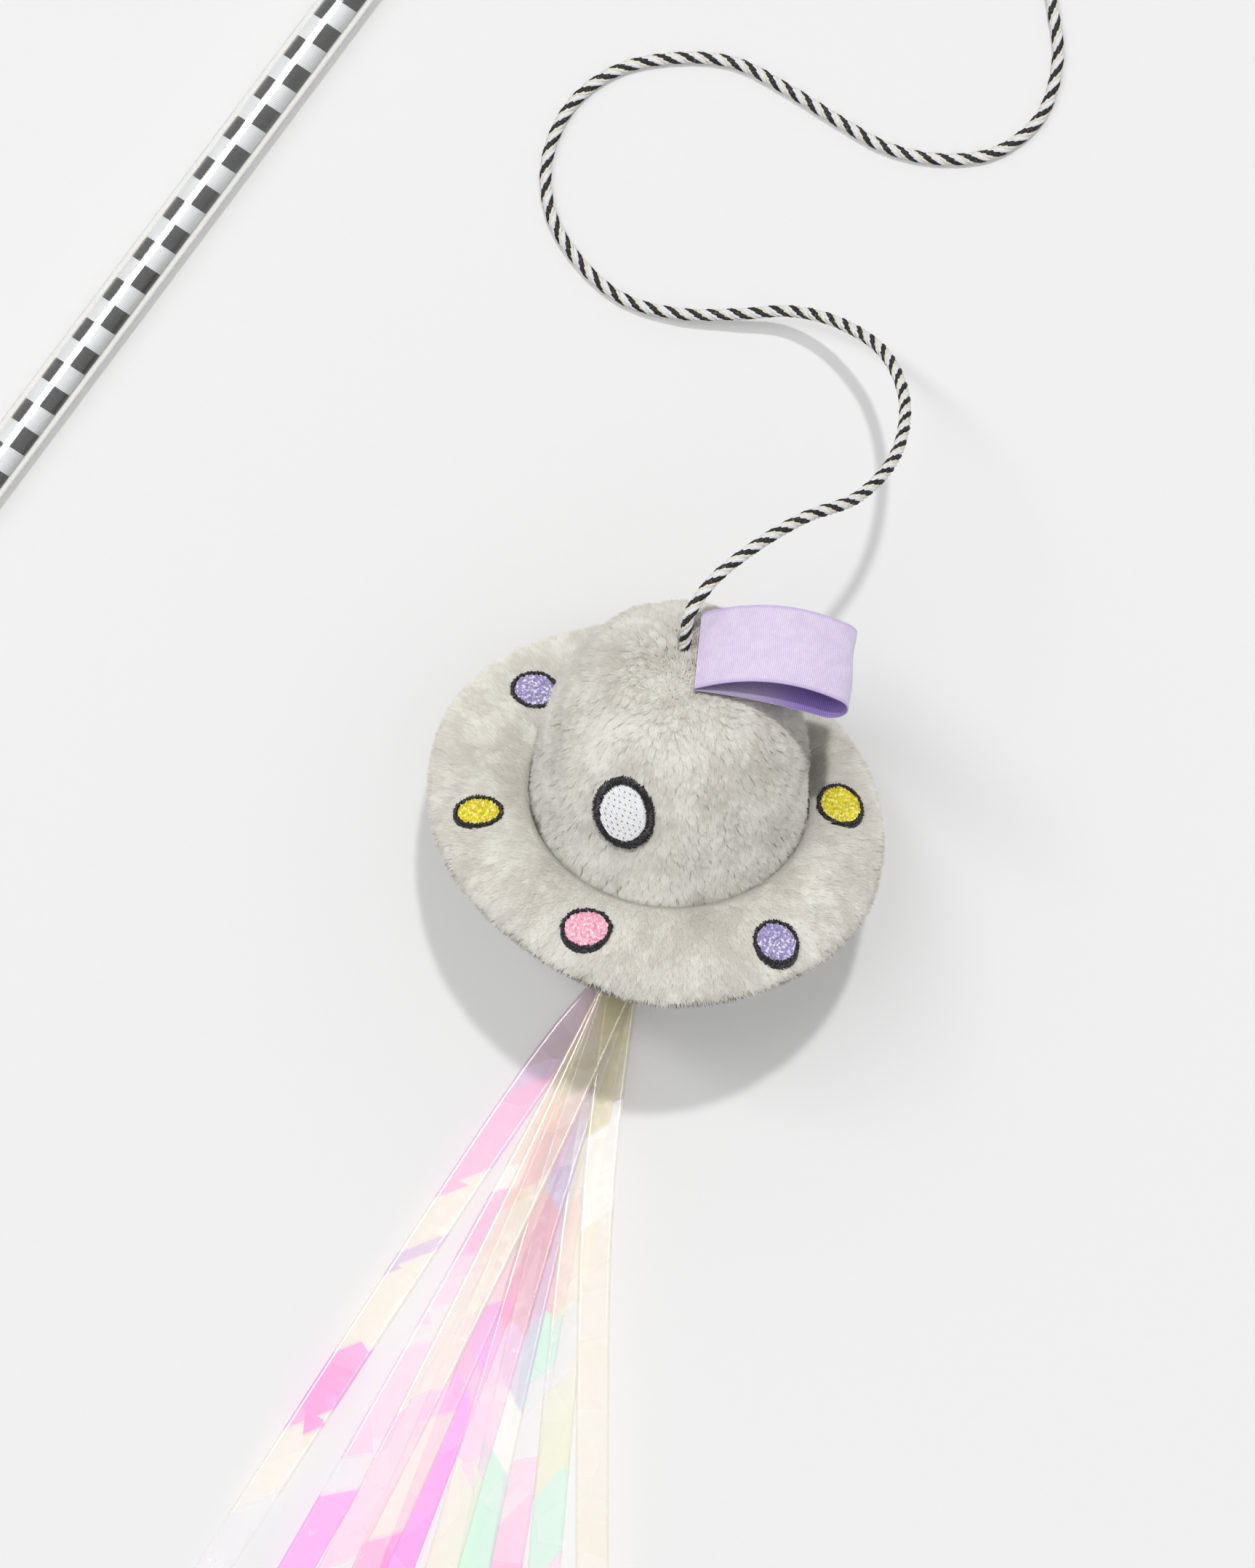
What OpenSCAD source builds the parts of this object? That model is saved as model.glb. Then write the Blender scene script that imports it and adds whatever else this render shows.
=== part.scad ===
// Cat teaser wand: a clear tube with a checked ribbon inside, a braided cord knotted in its
// tip plug, and a plush saucer toy on the cord with a ribbon tag and film streamers.
// The wand lies along X with its tip at +X. The toy rests on its belly beside the wand.

/* [Wand] */
// Length of the clear tube
tube_len = 416; // [250:2:600]
// Outer diameter of the clear tube
tube_od = 9; // [9:0.5:14]
// Wall of the clear tube
tube_wall = 1; // [0.8:0.1:1.4]
// Clearance of what sits in the tube's bore
bore_gap = 0.05; // [0.03:0.01:0.1]
// Thickness of the checked ribbon
check_t = 0.3; // [0.2:0.05:0.5]
// Width of the checked ribbon, measured round its bow
check_w = 7; // [6:0.5:11]
// Length of a plug inside the tube
plug_len = 12; // [8:1:20]
// Thickness of a plug's end flange
flange_t = 2; // [1:0.25:4]
// Radius of the rounding on the butt plug's end
butt_round = 1.5; // [0.5:0.25:1.75]
// Clearance between the checked ribbon's ends and the plugs
check_end_gap = 0.3; // [0.1:0.1:2]

/* [Cord] */
// Diameter of the braided cord
cord_d = 2.2; // [1.8:0.1:3]
// Clearance round the cord where it passes a hole
cord_hole_gap = 0.3; // [0.2:0.05:0.5]
// Radius of the stopper knot inside the tube
tip_knot_r = 3; // [2.2:0.1:3.3]
// Radius of the knot inside the dome
dome_knot_r = 3.2; // [2.4:0.1:4]
// Play between the cord and the piece that it flexes from
cord_play = 0.8; // [0.6:0.1:0.95]
// Radius of the outermost turn of the stored coil
coil_r = 14.2; // [13:0.1:18]
// Distance from one turn of the coil to the next
coil_pitch = 3.05; // [3:0.05:4]
// Height from one layer of the coil to the next
layer_pitch = 2.75; // [2.7:0.05:3.5]
// Distance of the coil's centre behind the mouth of the tip plug
coil_back = 32; // [28:1:36]
// Distance of the coil's centre beside the wand's axis
coil_side = 70; // [60:1:78]

/* [Saucer toy] */
// Radius of the dome and of the belly at the brim
dome_r = 26; // [20:0.5:32]
// Height of the dome above the brim's middle
dome_h = 47; // [38:0.5:56]
// Depth of the belly below the brim's middle
belly_h = 36; // [30:0.5:44]
// Mean radius of the brim
brim_r = 44.8; // [38:0.2:54]
// Thickness of the padded brim
brim_t = 9.8; // [8:0.2:12]
// Thickness of the plush with its pile
plush_t = 2.4; // [1.8:0.1:3]
// Clearance between the fabric and what fills it
fill_gap = 0.3; // [0.2:0.05:0.5]
// Lean of the dome from upright as the toy lies
toy_tilt = 39; // [30:1:44]
// Direction in which the dome leans, turned from +X
toy_lean = 31; // [20:1:45]
// Distance of the dome's tip behind the mouth of the tip plug
apex_back = 189.5; // [170:0.5:210]
// Distance of the dome's tip beside the wand's axis
apex_side = 125; // [110:0.5:140]
// Height of the lowest point of the toy above the floor
toy_lift = 0.15; // [0.1:0.05:0.3]

/* [Embroidery] */
// Width of the oval window
window_w = 12.6; // [8:0.2:16]
// Height of the oval window
window_h = 16.4; // [10:0.2:18]
// Width of the window's dark outline
window_line = 1.65; // [1:0.05:2.5]
// Height of the window's middle above the brim's middle
window_z = 24.1; // [18:0.1:28]
// Direction of the window round the dome
window_az = 250; // [225:1:270]
// Diameter of a dot with its outline
dot_d = 9.1; // [6:0.1:11]
// Width of a dot's dark outline
dot_line = 0.8; // [0.5:0.05:1.2]
// Height of the stitching above its seat
stitch_t = 0.6; // [0.4:0.05:1]

/* [Ribbon tag] */
// Width of the folded label ribbon
tag_w = 16.5; // [12:0.5:20]
// Length of the folded label ribbon from its seam
tag_len = 30; // [20:0.5:40]
// Thickness of the label ribbon
tag_t = 0.5; // [0.4:0.05:0.7]
// Radius of the fold at the tag's end
tag_fold_r = 3.4; // [2:0.1:4]
// Height to which the tag arches between its seam and its fold
tag_arch = 5.2; // [2:0.1:8]
// Distance of the tag's seam from the middle of the dome's tip
tag_seam = 2.6; // [2.4:0.1:5]

/* [Streamers] */
// Width of a film strip
film_w = 6.35; // [4:0.05:8]
// Thickness of a film strip
film_t = 0.2; // [0.15:0.05:0.3]
// Height from one strip to the next in the bundle
film_pitch = 0.42; // [0.38:0.02:0.6]
// Length of the longest strip
film_len = 176; // [120:2:220]
// Length of the thread collar that binds the strips
collar_len = 3.6; // [2.5:0.1:6]
// Wall of the thread collar
collar_wall = 0.45; // [0.3:0.05:0.8]
// Radius of the thread tack that holds the collar to the belly
tack_r = 1; // [0.6:0.1:1.4]

/* [Hidden] */

// Facets of the true round pieces
round_n = 64;
// Overrun of a cut past the faces that it opens
cut = 0.5;

// Radii of the tube, of its bore and of what fits in the bore
tube_r = tube_od / 2;
bore_r = tube_r - tube_wall;
fit_r = bore_r - bore_gap;
cord_r = cord_d / 2;
cord_hole_r = cord_r + cord_hole_gap;

// Share of the flare's depth in the flange, and turn of the ribbon's bow from the top
flare_share = 0.8;
check_turn = -4;

// X of the tube's tip end and of the tip plug's mouth
tube_end = tube_len / 2;
mouth_x = tube_end + flange_t;

// Shapes of the dome's and the belly's outlines, and the depth of the seams between gores
dome_power = 2.6;
belly_power = 2;
seam_dip_share = 0.035;
seam_az = 20;
gore_cols = 8;
dome_rows = 9;
belly_rows = 8;

// The brim's inner edge, its half thickness and how that falls off towards the inner edge
brim_seat = 0.4;
brim_in = dome_r + brim_seat;
brim_h = brim_t / 2;
brim_power = 2.667;
brim_pinch_share = 0.28;
brim_cols = 44;
brim_rows = 6;
// Out of round and out of flat of the padded brim, as shares of its radius
brim_shift_share = -0.046;
brim_oval_share = 0.04;
brim_droop_share = -0.058;
brim_warp_share = 0.053;
brim_ripple_share = 0.02;
brim_oval_az = 135;
brim_warp_az = 130;
brim_ripple_az = 4;
brim_ripples = 5;
// Share of the section that the wadding fills towards the brim's inner edge, and its clearance
wadding_share = 0.94;
wadding_gap = 1;

// Places of the dots round the brim, and how far out on it each one sits
dot_azs = [3, 306, 249, 194, 142, 70];
dot_out_shares = [0.36, 0.64, 0.52, 0.5, 0.37, 0.5];
dot_colours = ["yellow", "mediumpurple", "hotpink", "yellow", "mediumpurple", "hotpink"];
dot_r = dot_d / 2;
// Clearance between pieces that touch, and between stitching and plush
touch_gap = 0.05;
stitch_seat = 0.25;

// Angle of the tag against the brim's plane, and its place on the dome
tag_twist = 8;
tag_off_share = -0.085;
tag_seat = 0.85;
// Places along the tag of its highest point and of where its fold begins, and the angle at
// which the lower layer leaves the fold
tag_peak_share = 0.48;
tag_turn_share = 0.9;
tag_back_a = 19;

// Directions of the film strips before and after their knee, and their lengths, from the lowest
// strip to the highest
film_azs = [172, 196, 190, 202, 199, 195, 205, 198, 209, 193];
film_far_azs = [184, 196, 187, 208, 205, 193, 212, 201, 217, 190];
film_knee_shares = [0.16, 0.3, 0.3, 0.3, 0.3, 0.3, 0.3, 0.3, 0.3, 0.3];
film_len_shares = [0.97, 0.93, 1, 0.96, 0.92, 0.98, 0.9, 0.95, 0.85, 0.94];
film_rows = 12;
film_bend_share = 0.045;
film_mid_az = 184;
film_lift_share = 0.018;
film_seat = 0.12;
collar_gap = 0.1;
// Distance of the collar beyond the belly's pole, and how far the tack stands out to meet it
collar_out = tack_r * 3;
tack_out = tack_r * 2.5;

function xy(v) = [v[0], v[1]];
function flat(l) = [for (row = l) for (p = row) p];
function unit(v) = v / norm(v);
function ease(t) = t <= 0 ? 0 : t >= 1 ? 1 : t * t * (3 - 2 * t);
function toward(a) = [cos(a), sin(a)];

// Lowest point of the leaning toy is the belly's: half height of a tilted ellipsoid
belly_reach = sqrt(pow(dome_r * sin(toy_tilt), 2) + pow(belly_h * cos(toy_tilt), 2));
base_z = belly_reach + toy_lift;

// Toy frame in the world: its upright axis, and its base centre seen from the plug's mouth
toy_axis = [sin(toy_tilt) * cos(toy_lean), sin(toy_tilt) * sin(toy_lean), cos(toy_tilt)];
apex_off = [-apex_back, -apex_side, 0];
base_off = xy(apex_off) - dome_h * xy(toy_axis);
pole_off = base_off - belly_h * xy(toy_axis);

// The strips' common start: the collar's inner end, out from the belly's pole along the floor
film_dir = toward(film_mid_az);
root_off = pole_off + collar_out * film_dir;

// Each strip's knee and tip
film_bend = film_len * film_bend_share;
function film_knee(k) = root_off + film_bend * film_dir
    + (film_len * film_knee_shares[k] - film_bend) * toward(film_azs[k]);
function film_tip(k) = film_knee(k)
    + film_len * (film_len_shares[k] - film_knee_shares[k]) * toward(film_far_azs[k]);
// Side of the farthest film corner from the wand's axis: half of the whole lay is the wand's Y
low_y = min([for (k = [0:len(film_azs) - 1])
    film_tip(k)[1] - film_w / 2 * abs(cos(film_far_azs[k]))]);
wand_y = (-low_y - tube_r) / 2;

mouth = [mouth_x, wand_y, tube_r];

module place_toy() {
    translate([mouth_x + base_off[0], wand_y + base_off[1], base_z])
        rotate([0, 0, toy_lean - 90]) rotate([-toy_tilt, 0, 0]) children();
}

// A closed skin between two grids of points, seen from outside with columns to the right
module skin(outer, inner, wrap = false) {
    nu = len(outer);
    nv = len(outer[0]);
    cells = wrap ? nu : nu - 1;
    o = function(i, j) (i % nu) * nv + j;
    n = function(i, j) nu * nv + (i % nu) * nv + j;
    last = nv - 1;
    faces = concat(
        [for (i = [0:cells - 1], j = [0:last - 1]) [o(i, j), o(i, j + 1), o(i + 1, j + 1)]],
        [for (i = [0:cells - 1], j = [0:last - 1]) [o(i, j), o(i + 1, j + 1), o(i + 1, j)]],
        [for (i = [0:cells - 1], j = [0:last - 1]) [n(i, j), n(i + 1, j + 1), n(i, j + 1)]],
        [for (i = [0:cells - 1], j = [0:last - 1]) [n(i, j), n(i + 1, j), n(i + 1, j + 1)]],
        [for (i = [0:cells - 1]) [o(i, 0), o(i + 1, 0), n(i + 1, 0)]],
        [for (i = [0:cells - 1]) [o(i, 0), n(i + 1, 0), n(i, 0)]],
        [for (i = [0:cells - 1]) [o(i + 1, last), o(i, last), n(i, last)]],
        [for (i = [0:cells - 1]) [o(i + 1, last), n(i, last), n(i + 1, last)]],
        wrap ? [] : [for (j = [0:last - 1]) [o(0, j + 1), o(0, j), n(0, j)]],
        wrap ? [] : [for (j = [0:last - 1]) [o(0, j + 1), n(0, j), n(0, j + 1)]],
        wrap ? [] : [for (j = [0:last - 1]) [o(cells, j), o(cells, j + 1), n(cells, j + 1)]],
        wrap ? [] : [for (j = [0:last - 1]) [o(cells, j), n(cells, j + 1), n(cells, j)]]);
    polyhedron(points = concat(flat(outer), flat(inner)), faces = faces);
}

// A solid tube along a path of points, with straight cut ends square to the path
module sweep(path, r, sides) {
    last = len(path) - 1;
    dir = function(i) unit(path[min(i + 1, last)] - path[max(i - 1, 0)]);
    right = function(i) unit(cross(dir(i), [0, 0, 1]));
    up = function(i) cross(right(i), dir(i));
    rings = [for (i = [0:last]) [for (j = [0:sides - 1])
        path[i] + r * (cos(360 * j / sides) * right(i) + sin(360 * j / sides) * up(i))]];
    p = function(i, j) i * sides + j % sides;
    polyhedron(points = flat(rings), faces = concat(
        [for (i = [0:last - 1], j = [0:sides - 1]) [p(i, j), p(i, j + 1), p(i + 1, j + 1)]],
        [for (i = [0:last - 1], j = [0:sides - 1]) [p(i, j), p(i + 1, j + 1), p(i + 1, j)]],
        [for (j = [1:sides - 2]) [p(0, 0), p(0, j + 1), p(0, j)]],
        [for (j = [1:sides - 2]) [p(last, 0), p(last, j), p(last, j + 1)]]));
}

module wand_tube() {
    color([0.93, 0.92, 0.86, 0.35])
        translate([-tube_end, wand_y, tube_r]) rotate([0, 90, 0])
            difference() {
                cylinder(r = tube_r, h = tube_len, $fn = round_n);
                translate([0, 0, -cut]) cylinder(r = bore_r, h = tube_len + 2 * cut, $fn = round_n);
            }
}

// The ribbon lies bowed against the top of the bore
module check_ribbon() {
    bow = check_w / (fit_r - check_t / 2) * 180 / PI;
    color([0.85, 0.85, 0.85])
        translate([-tube_end + plug_len + check_end_gap, wand_y, tube_r])
            rotate([90, 0, 90])
                rotate([0, 0, 90 + check_turn - bow / 2])
                    linear_extrude(height = tube_len - 2 * (plug_len + check_end_gap))
                        arc_strip(fit_r, fit_r - check_t, bow);
}

// A ring's sector from angle zero, cut out of a full ring
module arc_strip(r_out, r_in, sweep_a) {
    difference() {
        intersection() {
            circle(r = r_out, $fn = round_n);
            polygon(concat([[0, 0]], [for (k = [0:4])
                2 * r_out * [cos(sweep_a * k / 4), sin(sweep_a * k / 4)]]));
        }
        circle(r = r_in, $fn = round_n);
    }
}

// Tip plug: a drilled stopper whose mouth is flared so that the cord bends without an edge
module tip_plug() {
    flare = flange_t * flare_share;
    color([0.1, 0.1, 0.1])
        translate([tube_end, wand_y, tube_r]) rotate([0, 90, 0])
            difference() {
                union() {
                    translate([0, 0, -plug_len]) cylinder(r = fit_r, h = plug_len, $fn = round_n);
                    cylinder(r = tube_r, h = flange_t, $fn = round_n);
                }
                translate([0, 0, -plug_len - cut])
                    cylinder(r = cord_hole_r, h = plug_len + flange_t + 2 * cut, $fn = round_n);
                translate([0, 0, flange_t - flare])
                    cylinder(r1 = cord_hole_r, r2 = cord_hole_r + flare, h = flare, $fn = round_n);
            }
}

// Stopper knot behind the plug, with the cord's tail through the bore to the mouth
module tip_knot() {
    knot_x = tube_end - plug_len - tip_knot_r - cord_hole_gap;
    color([0.2, 0.2, 0.2])
        translate([knot_x, wand_y, tube_r]) rotate([0, 90, 0]) {
            sphere(r = tip_knot_r, $fn = round_n);
            cylinder(r = cord_r, h = mouth_x + cord_hole_gap - knot_x, $fn = round_n);
        }
}

module butt_plug() {
    color([0.1, 0.1, 0.1])
        translate([-tube_end, wand_y, tube_r]) rotate([0, -90, 0]) {
            translate([0, 0, -plug_len]) cylinder(r = fit_r, h = plug_len, $fn = round_n);
            rotate_extrude($fn = round_n)
                polygon(concat([[0, 0], [tube_r, 0]],
                    [for (a = [0:15:90]) [tube_r - butt_round + butt_round * cos(a),
                        flange_t - butt_round + butt_round * sin(a)]],
                    [[0, flange_t]]));
        }
}

// The cord's free run from the mouth: out of the tip, down to the floor, back to the coil
// Points are measured from the mouth of the tip plug, with heights from the floor
tip_route = [[7.5, -0.4, 4.2], [11.3, -2, 3.4], [14, -5.2, 2.3], [14.6, -9.2, 1.6],
    [13, -13, 1.2], [9.6, -15.8, 1.2], [5, -17.4, 1.2], [-0.5, -18.4, 1.2], [-6, -19.6, 1.2],
    [-11, -22, 1.2], [-15, -26, 1.2], [-17.2, -31.5, 1.2], [-17.8, -38, 1.2],
    [-17.8, -45, 1.2], [-17.8, -52, 1.2], [-17.8, -59, 1.2]];

// The cord's run from the coil over the floor, then up to the tip of the dome
toy_route = [[-28.5, -88, 2.8], [-34, -93.5, 1.6], [-41, -100, 1.2],
    [-49, -107, 1.2], [-57, -114.5, 1.2], [-67.5, -118.5, 1.2], [-78, -116, 1.2],
    [-85.5, -108.5, 1.2], [-90, -99, 1.2], [-91.5, -88.5, 1.2], [-92.5, -77.5, 1.2],
    [-94.5, -66, 1.2], [-100.5, -56.5, 1.2], [-109, -49, 1.2], [-119.5, -46, 1.2],
    [-130.5, -48.5, 1.2], [-138.5, -55.5, 1.2], [-142.5, -65.5, 1.2], [-143, -76, 1.4],
    [-139, -86, 2.8], [-132.5, -95, 5.2], [-126, -103, 9.2], [-122.5, -112, 16],
    [-122.5, -122, 26], [-128, -130.5, 37], [-137.5, -135, 48.5], [-148, -134, 58.5],
    [-157, -128.5, 66.5], [-166.5, -124.5, 72], [-176, -122, 75.2], [-183.5, -122, 75.4]];

// Turn of the coil in all, and the part of it that winds in before the climb
coil_exit = 44;
coil_turn = 360 * 3 + coil_exit;
coil_climb = 180;
coil_in = (coil_turn - coil_climb) / 2;
coil_low = cord_r + toy_lift / 3;
coil_step = 15;
coil_steps = round(coil_turn / coil_step);
coil_mid = mouth + [-coil_back, -coil_side, -tube_r];

function coil_rad(a) = coil_r - coil_pitch / 360 * (a < coil_in ? a
    : a < coil_in + coil_climb ? coil_in : 2 * coil_in + coil_climb - a);
function coil_at(a) = coil_mid + [coil_rad(a) * cos(a), -coil_rad(a) * sin(a),
    coil_low + layer_pitch * ease((a - coil_in) / coil_climb)];
coil_line = [for (k = [0:coil_steps]) coil_at(coil_turn * k / coil_steps)];
// Straight leads of one diameter at both ends, square to the runs that they meet
coil_head = coil_line[0] + [0, cord_d, 0];
coil_out = [-sin(coil_exit), -cos(coil_exit), 0];
coil_tail = coil_line[coil_steps] + cord_d * coil_out;
coil_path = concat([coil_head], coil_line, [coil_tail]);

// Least gap of the coil to itself, between points more than a third of a turn apart
coil_far = 360 / coil_step / 3;
coil_gap = min([for (i = [0:coil_steps], j = [0:coil_steps])
    if (j > i + coil_far) norm(coil_line[i] - coil_line[j])]) - cord_d;
echo(least_gap_in_coil = coil_gap);

// Points on a smooth curve through the route, two for each leg
function leg(r, i) = let (a = r[max(i - 1, 0)], b = r[i], c = r[i + 1],
    d = r[min(i + 2, len(r) - 1)]) [b, (9 * b + 9 * c - a - d) / 16];
function smooth(r) = concat([for (i = [0:len(r) - 2]) each leg(r, i)], [r[len(r) - 1]]);
function from_mouth(r) = [for (p = r) [mouth[0] + p[0], mouth[1] + p[1], p[2]]];

// The joint gap lies between the knot's tail or the anchor's stub and the cord's run
tip_start = mouth + [cord_hole_gap + cord_play, 0, 0];
apex = [mouth[0] - apex_back, mouth[1] - apex_side, base_z + dome_h * toy_axis[2]];
stub_out = cord_play;
toy_end = apex + (stub_out + cord_play) * toy_axis;

module cord_tip_run() {
    path = concat([tip_start, tip_start + [cord_d, 0, 0]], from_mouth(tip_route),
        [coil_head + [0, cord_d, 0], coil_head + [0, touch_gap, 0]]);
    color([0.35, 0.35, 0.35]) sweep(path, cord_r, 8);
}

module cord_coil() {
    color([0.35, 0.35, 0.35]) sweep(coil_path, cord_r, 6);
}

module cord_toy_run() {
    ends = [toy_end + 2 * cord_d * toy_axis, toy_end + cord_d * toy_axis, toy_end];
    path = concat([coil_tail + touch_gap * coil_out, coil_tail + cord_d * coil_out],
        smooth(from_mouth(toy_route)), ends);
    color([0.35, 0.35, 0.35]) sweep(path, cord_r, 8);
}

echo(mouth = mouth);
echo(tip_pivot = mouth + [cord_hole_gap + cord_play / 2, 0, 0]);
echo(apex_pivot = apex + (stub_out + cord_play / 2) * toy_axis);
echo(root_pivot = [mouth[0] + root_off[0], mouth[1] + root_off[1]]);
echo(coil_mid = coil_mid);
echo(coil_tail = coil_tail);
echo(toy_axis = toy_axis);

// Radius of the body at a height, and how much the sewn seams draw it in
function bulge(r, h, power, z) = r * pow(max(0, 1 - pow(abs(z) / h, power)), 1 / power);
function seam_share(az) = 1 - seam_dip_share * pow(1 - abs(sin(2 * (az - seam_az))), 4);
function polar(r, az, z) = [r * cos(az), r * sin(az), z];

// One gore: a quarter of a plush dome from its hem to the hole at the pole
module gore(k, r, h, power, rows, up) {
    hole = cord_hole_r;
    a_top = acos(pow(hole / r, power / 2));
    az = function(i) seam_az + 90 * k + 90 * i / gore_cols;
    angle = function(j) up ? a_top * j / rows : -a_top * (1 - j / rows);
    sgn = up ? 1 : -1;
    rr = function(rad, a) rad * pow(cos(a), 2 / power);
    zz = function(hgt, a) sgn * hgt * pow(sin(abs(a)), 2 / power);
    outer = [for (i = [0:gore_cols]) [for (j = [0:rows])
        polar(rr(r, angle(j)) * seam_share(az(i)), az(i), zz(h, angle(j)))]];
    inner = [for (i = [0:gore_cols]) [for (j = [0:rows])
        polar(max(rr(r - plush_t, angle(j)), hole * seam_share(az(i))), az(i),
            zz(h - plush_t, angle(j)))]];
    color([0.78, 0.77, 0.74]) place_toy() skin(outer, inner);
}

module dome_gore(k) {
    gore(k, dome_r, dome_h, dome_power, dome_rows, true);
}

module belly_gore(k) {
    gore(k, dome_r, belly_h, belly_power, belly_rows, false);
}

// Polyester filling inside the gores, with a pocket for the cord's knot
module body_filling() {
    in = plush_t + fill_gap;
    n = 14;
    knot_z = dome_h - in - dome_knot_r * 2;
    color("white") place_toy()
        difference() {
            rotate_extrude($fn = round_n)
                polygon(concat(
                    [for (k = [0:n]) let (z = -(belly_h - in) * cos(90 * k / n))
                        [bulge(dome_r - in, belly_h - in, belly_power, z), z]],
                    [for (k = [1:n]) let (z = (dome_h - in) * sin(90 * k / n))
                        [bulge(dome_r - in, dome_h - in, dome_power, z), z]]));
            translate([0, 0, knot_z]) sphere(r = dome_knot_r + fill_gap, $fn = round_n);
            translate([0, 0, knot_z]) cylinder(r = cord_hole_r, h = dome_h, $fn = round_n);
            translate([0, 0, -belly_h]) cylinder(r = tack_r + fill_gap, h = in * 3, $fn = round_n);
        }
}

// The cord's knot inside the dome and the stub that passes out between the gores
module cord_anchor() {
    knot_z = dome_h - plush_t - fill_gap - dome_knot_r * 2;
    color([0.2, 0.2, 0.2]) place_toy()
        translate([0, 0, knot_z]) {
            sphere(r = dome_knot_r, $fn = round_n);
            cylinder(r = cord_r, h = dome_h + stub_out - knot_z, $fn = round_n);
        }
}

// Thread tack through the belly's pole that carries the collar of the streamers
module streamer_tack() {
    color("whitesmoke") place_toy()
        translate([0, 0, -belly_h - tack_out])
            cylinder(r = tack_r, h = tack_out + plush_t * 2, $fn = round_n);
}

// The brim: its radius and droop change round the toy, and it is thinner at its inner edge
function brim_edge(az) = brim_r * (1 + brim_shift_share * cos(az)
    + brim_oval_share * cos(2 * (az - brim_oval_az)));
function brim_wave(az) = brim_r * (brim_droop_share + brim_warp_share * cos(az - brim_warp_az)
    + brim_ripple_share * sin(brim_ripples * az + brim_ripple_az));
function brim_puff(s) = 1 - brim_pinch_share * pow(1 - min(1, 2 * s), 2);
function brim_sag(s, az) = brim_wave(az) * pow(s, 1.5);
// A point on the brim's section: q runs from the inner lower edge, -1, to the inner upper, 1
function brim_point(az, q, in, core = 0) = let (
    wide = brim_edge(az) - brim_in,
    s = pow(cos(90 * q), 2 / brim_power),
    z = sign(q) * pow(abs(sin(90 * q)), 2 / brim_power) * (brim_h - in) * brim_puff(s))
    polar(brim_in + core + (wide - in - core) * s, az, z + brim_sag(s, az));

module brim_skin(q0, q1) {
    az = function(i) 360 * i / brim_cols;
    q = function(j) q0 + (q1 - q0) * j / brim_rows;
    color([0.78, 0.77, 0.74]) place_toy()
        skin([for (i = [0:brim_cols - 1]) [for (j = [0:brim_rows]) brim_point(az(i), q(j), 0)]],
            [for (i = [0:brim_cols - 1]) [for (j = [0:brim_rows])
                brim_point(az(i), q(j), plush_t)]], true);
}

module brim_top_panel() {
    brim_skin(0, 1);
}

module brim_under_panel() {
    brim_skin(-1, 0);
}

// Wadding between the panels: a puffed ring with an upright inner face
module brim_padding() {
    in = plush_t + wadding_gap;
    rows = brim_rows + 2;
    az = function(i) 360 * i / brim_cols;
    q = function(j) wadding_share * (2 * j / rows - 1);
    puffed = [for (i = [0:brim_cols - 1]) [for (j = [0:rows])
        brim_point(az(i), q(j), in, fill_gap)]];
    upright = [for (i = [0:brim_cols - 1]) let (z0 = puffed[i][0][2], z1 = puffed[i][rows][2])
        [for (j = [0:rows]) polar(brim_in + fill_gap, az(i), z0 + (z1 - z0) * j / rows)]];
    color("white") place_toy() skin(puffed, upright, true);
}

// Height of the brim's upper side at a radius, and of a place on it given in flat offsets
function brim_top(r, az) = let (s = (r - brim_in) / (brim_edge(az) - brim_in))
    brim_h * brim_puff(s) * pow(max(0, 1 - pow(s, brim_power)), 1 / brim_power)
    + brim_sag(s, az);
function on_brim(az, r, u, v, off) = let (
    x = r + u, d = sqrt(x * x + v * v), a = az + atan2(v, x))
    polar(d, a, brim_top(d, a) + off);
// A place on the dome given in offsets round it and up it
function on_dome(az, z, u, v, off) = let (
    r0 = bulge(dome_r, dome_h, dome_power, z),
    lean = atan(dome_r / dome_h * pow(z / dome_h, dome_power - 1)
        * pow(1 - pow(z / dome_h, dome_power), 1 / dome_power - 1)),
    zz = z + v * cos(lean),
    a = az + u / r0 * 180 / PI,
    rr = bulge(dome_r, dome_h, dome_power, zz) * seam_share(a))
    polar(rr + off * cos(lean), a, zz + off * sin(lean));

// A stitched pad that follows the surface f, with half sizes a and b
module pad(f, a, b, sides = 20) {
    shares = [0.5, 1];
    pts = function(off) concat([f(0, 0, off)], [for (s = shares) for (i = [0:sides - 1])
        f(a * s * cos(360 * i / sides), b * s * sin(360 * i / sides), off)]);
    m = 1 + 2 * sides;
    t = function(ring, i) 1 + ring * sides + i % sides;
    polyhedron(points = concat(pts(stitch_seat + stitch_t), pts(stitch_seat)), faces = concat(
        [for (i = [0:sides - 1]) [0, t(0, i + 1), t(0, i)]],
        [for (i = [0:sides - 1]) [t(0, i), t(0, i + 1), t(1, i + 1)]],
        [for (i = [0:sides - 1]) [t(0, i), t(1, i + 1), t(1, i)]],
        [for (i = [0:sides - 1]) [m, m + t(0, i), m + t(0, i + 1)]],
        [for (i = [0:sides - 1]) [m + t(0, i), m + t(1, i + 1), m + t(0, i + 1)]],
        [for (i = [0:sides - 1]) [m + t(0, i), m + t(1, i), m + t(1, i + 1)]],
        [for (i = [0:sides - 1]) [t(1, i), t(1, i + 1), m + t(1, i + 1)]],
        [for (i = [0:sides - 1]) [t(1, i), m + t(1, i + 1), m + t(1, i)]]));
}

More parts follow.
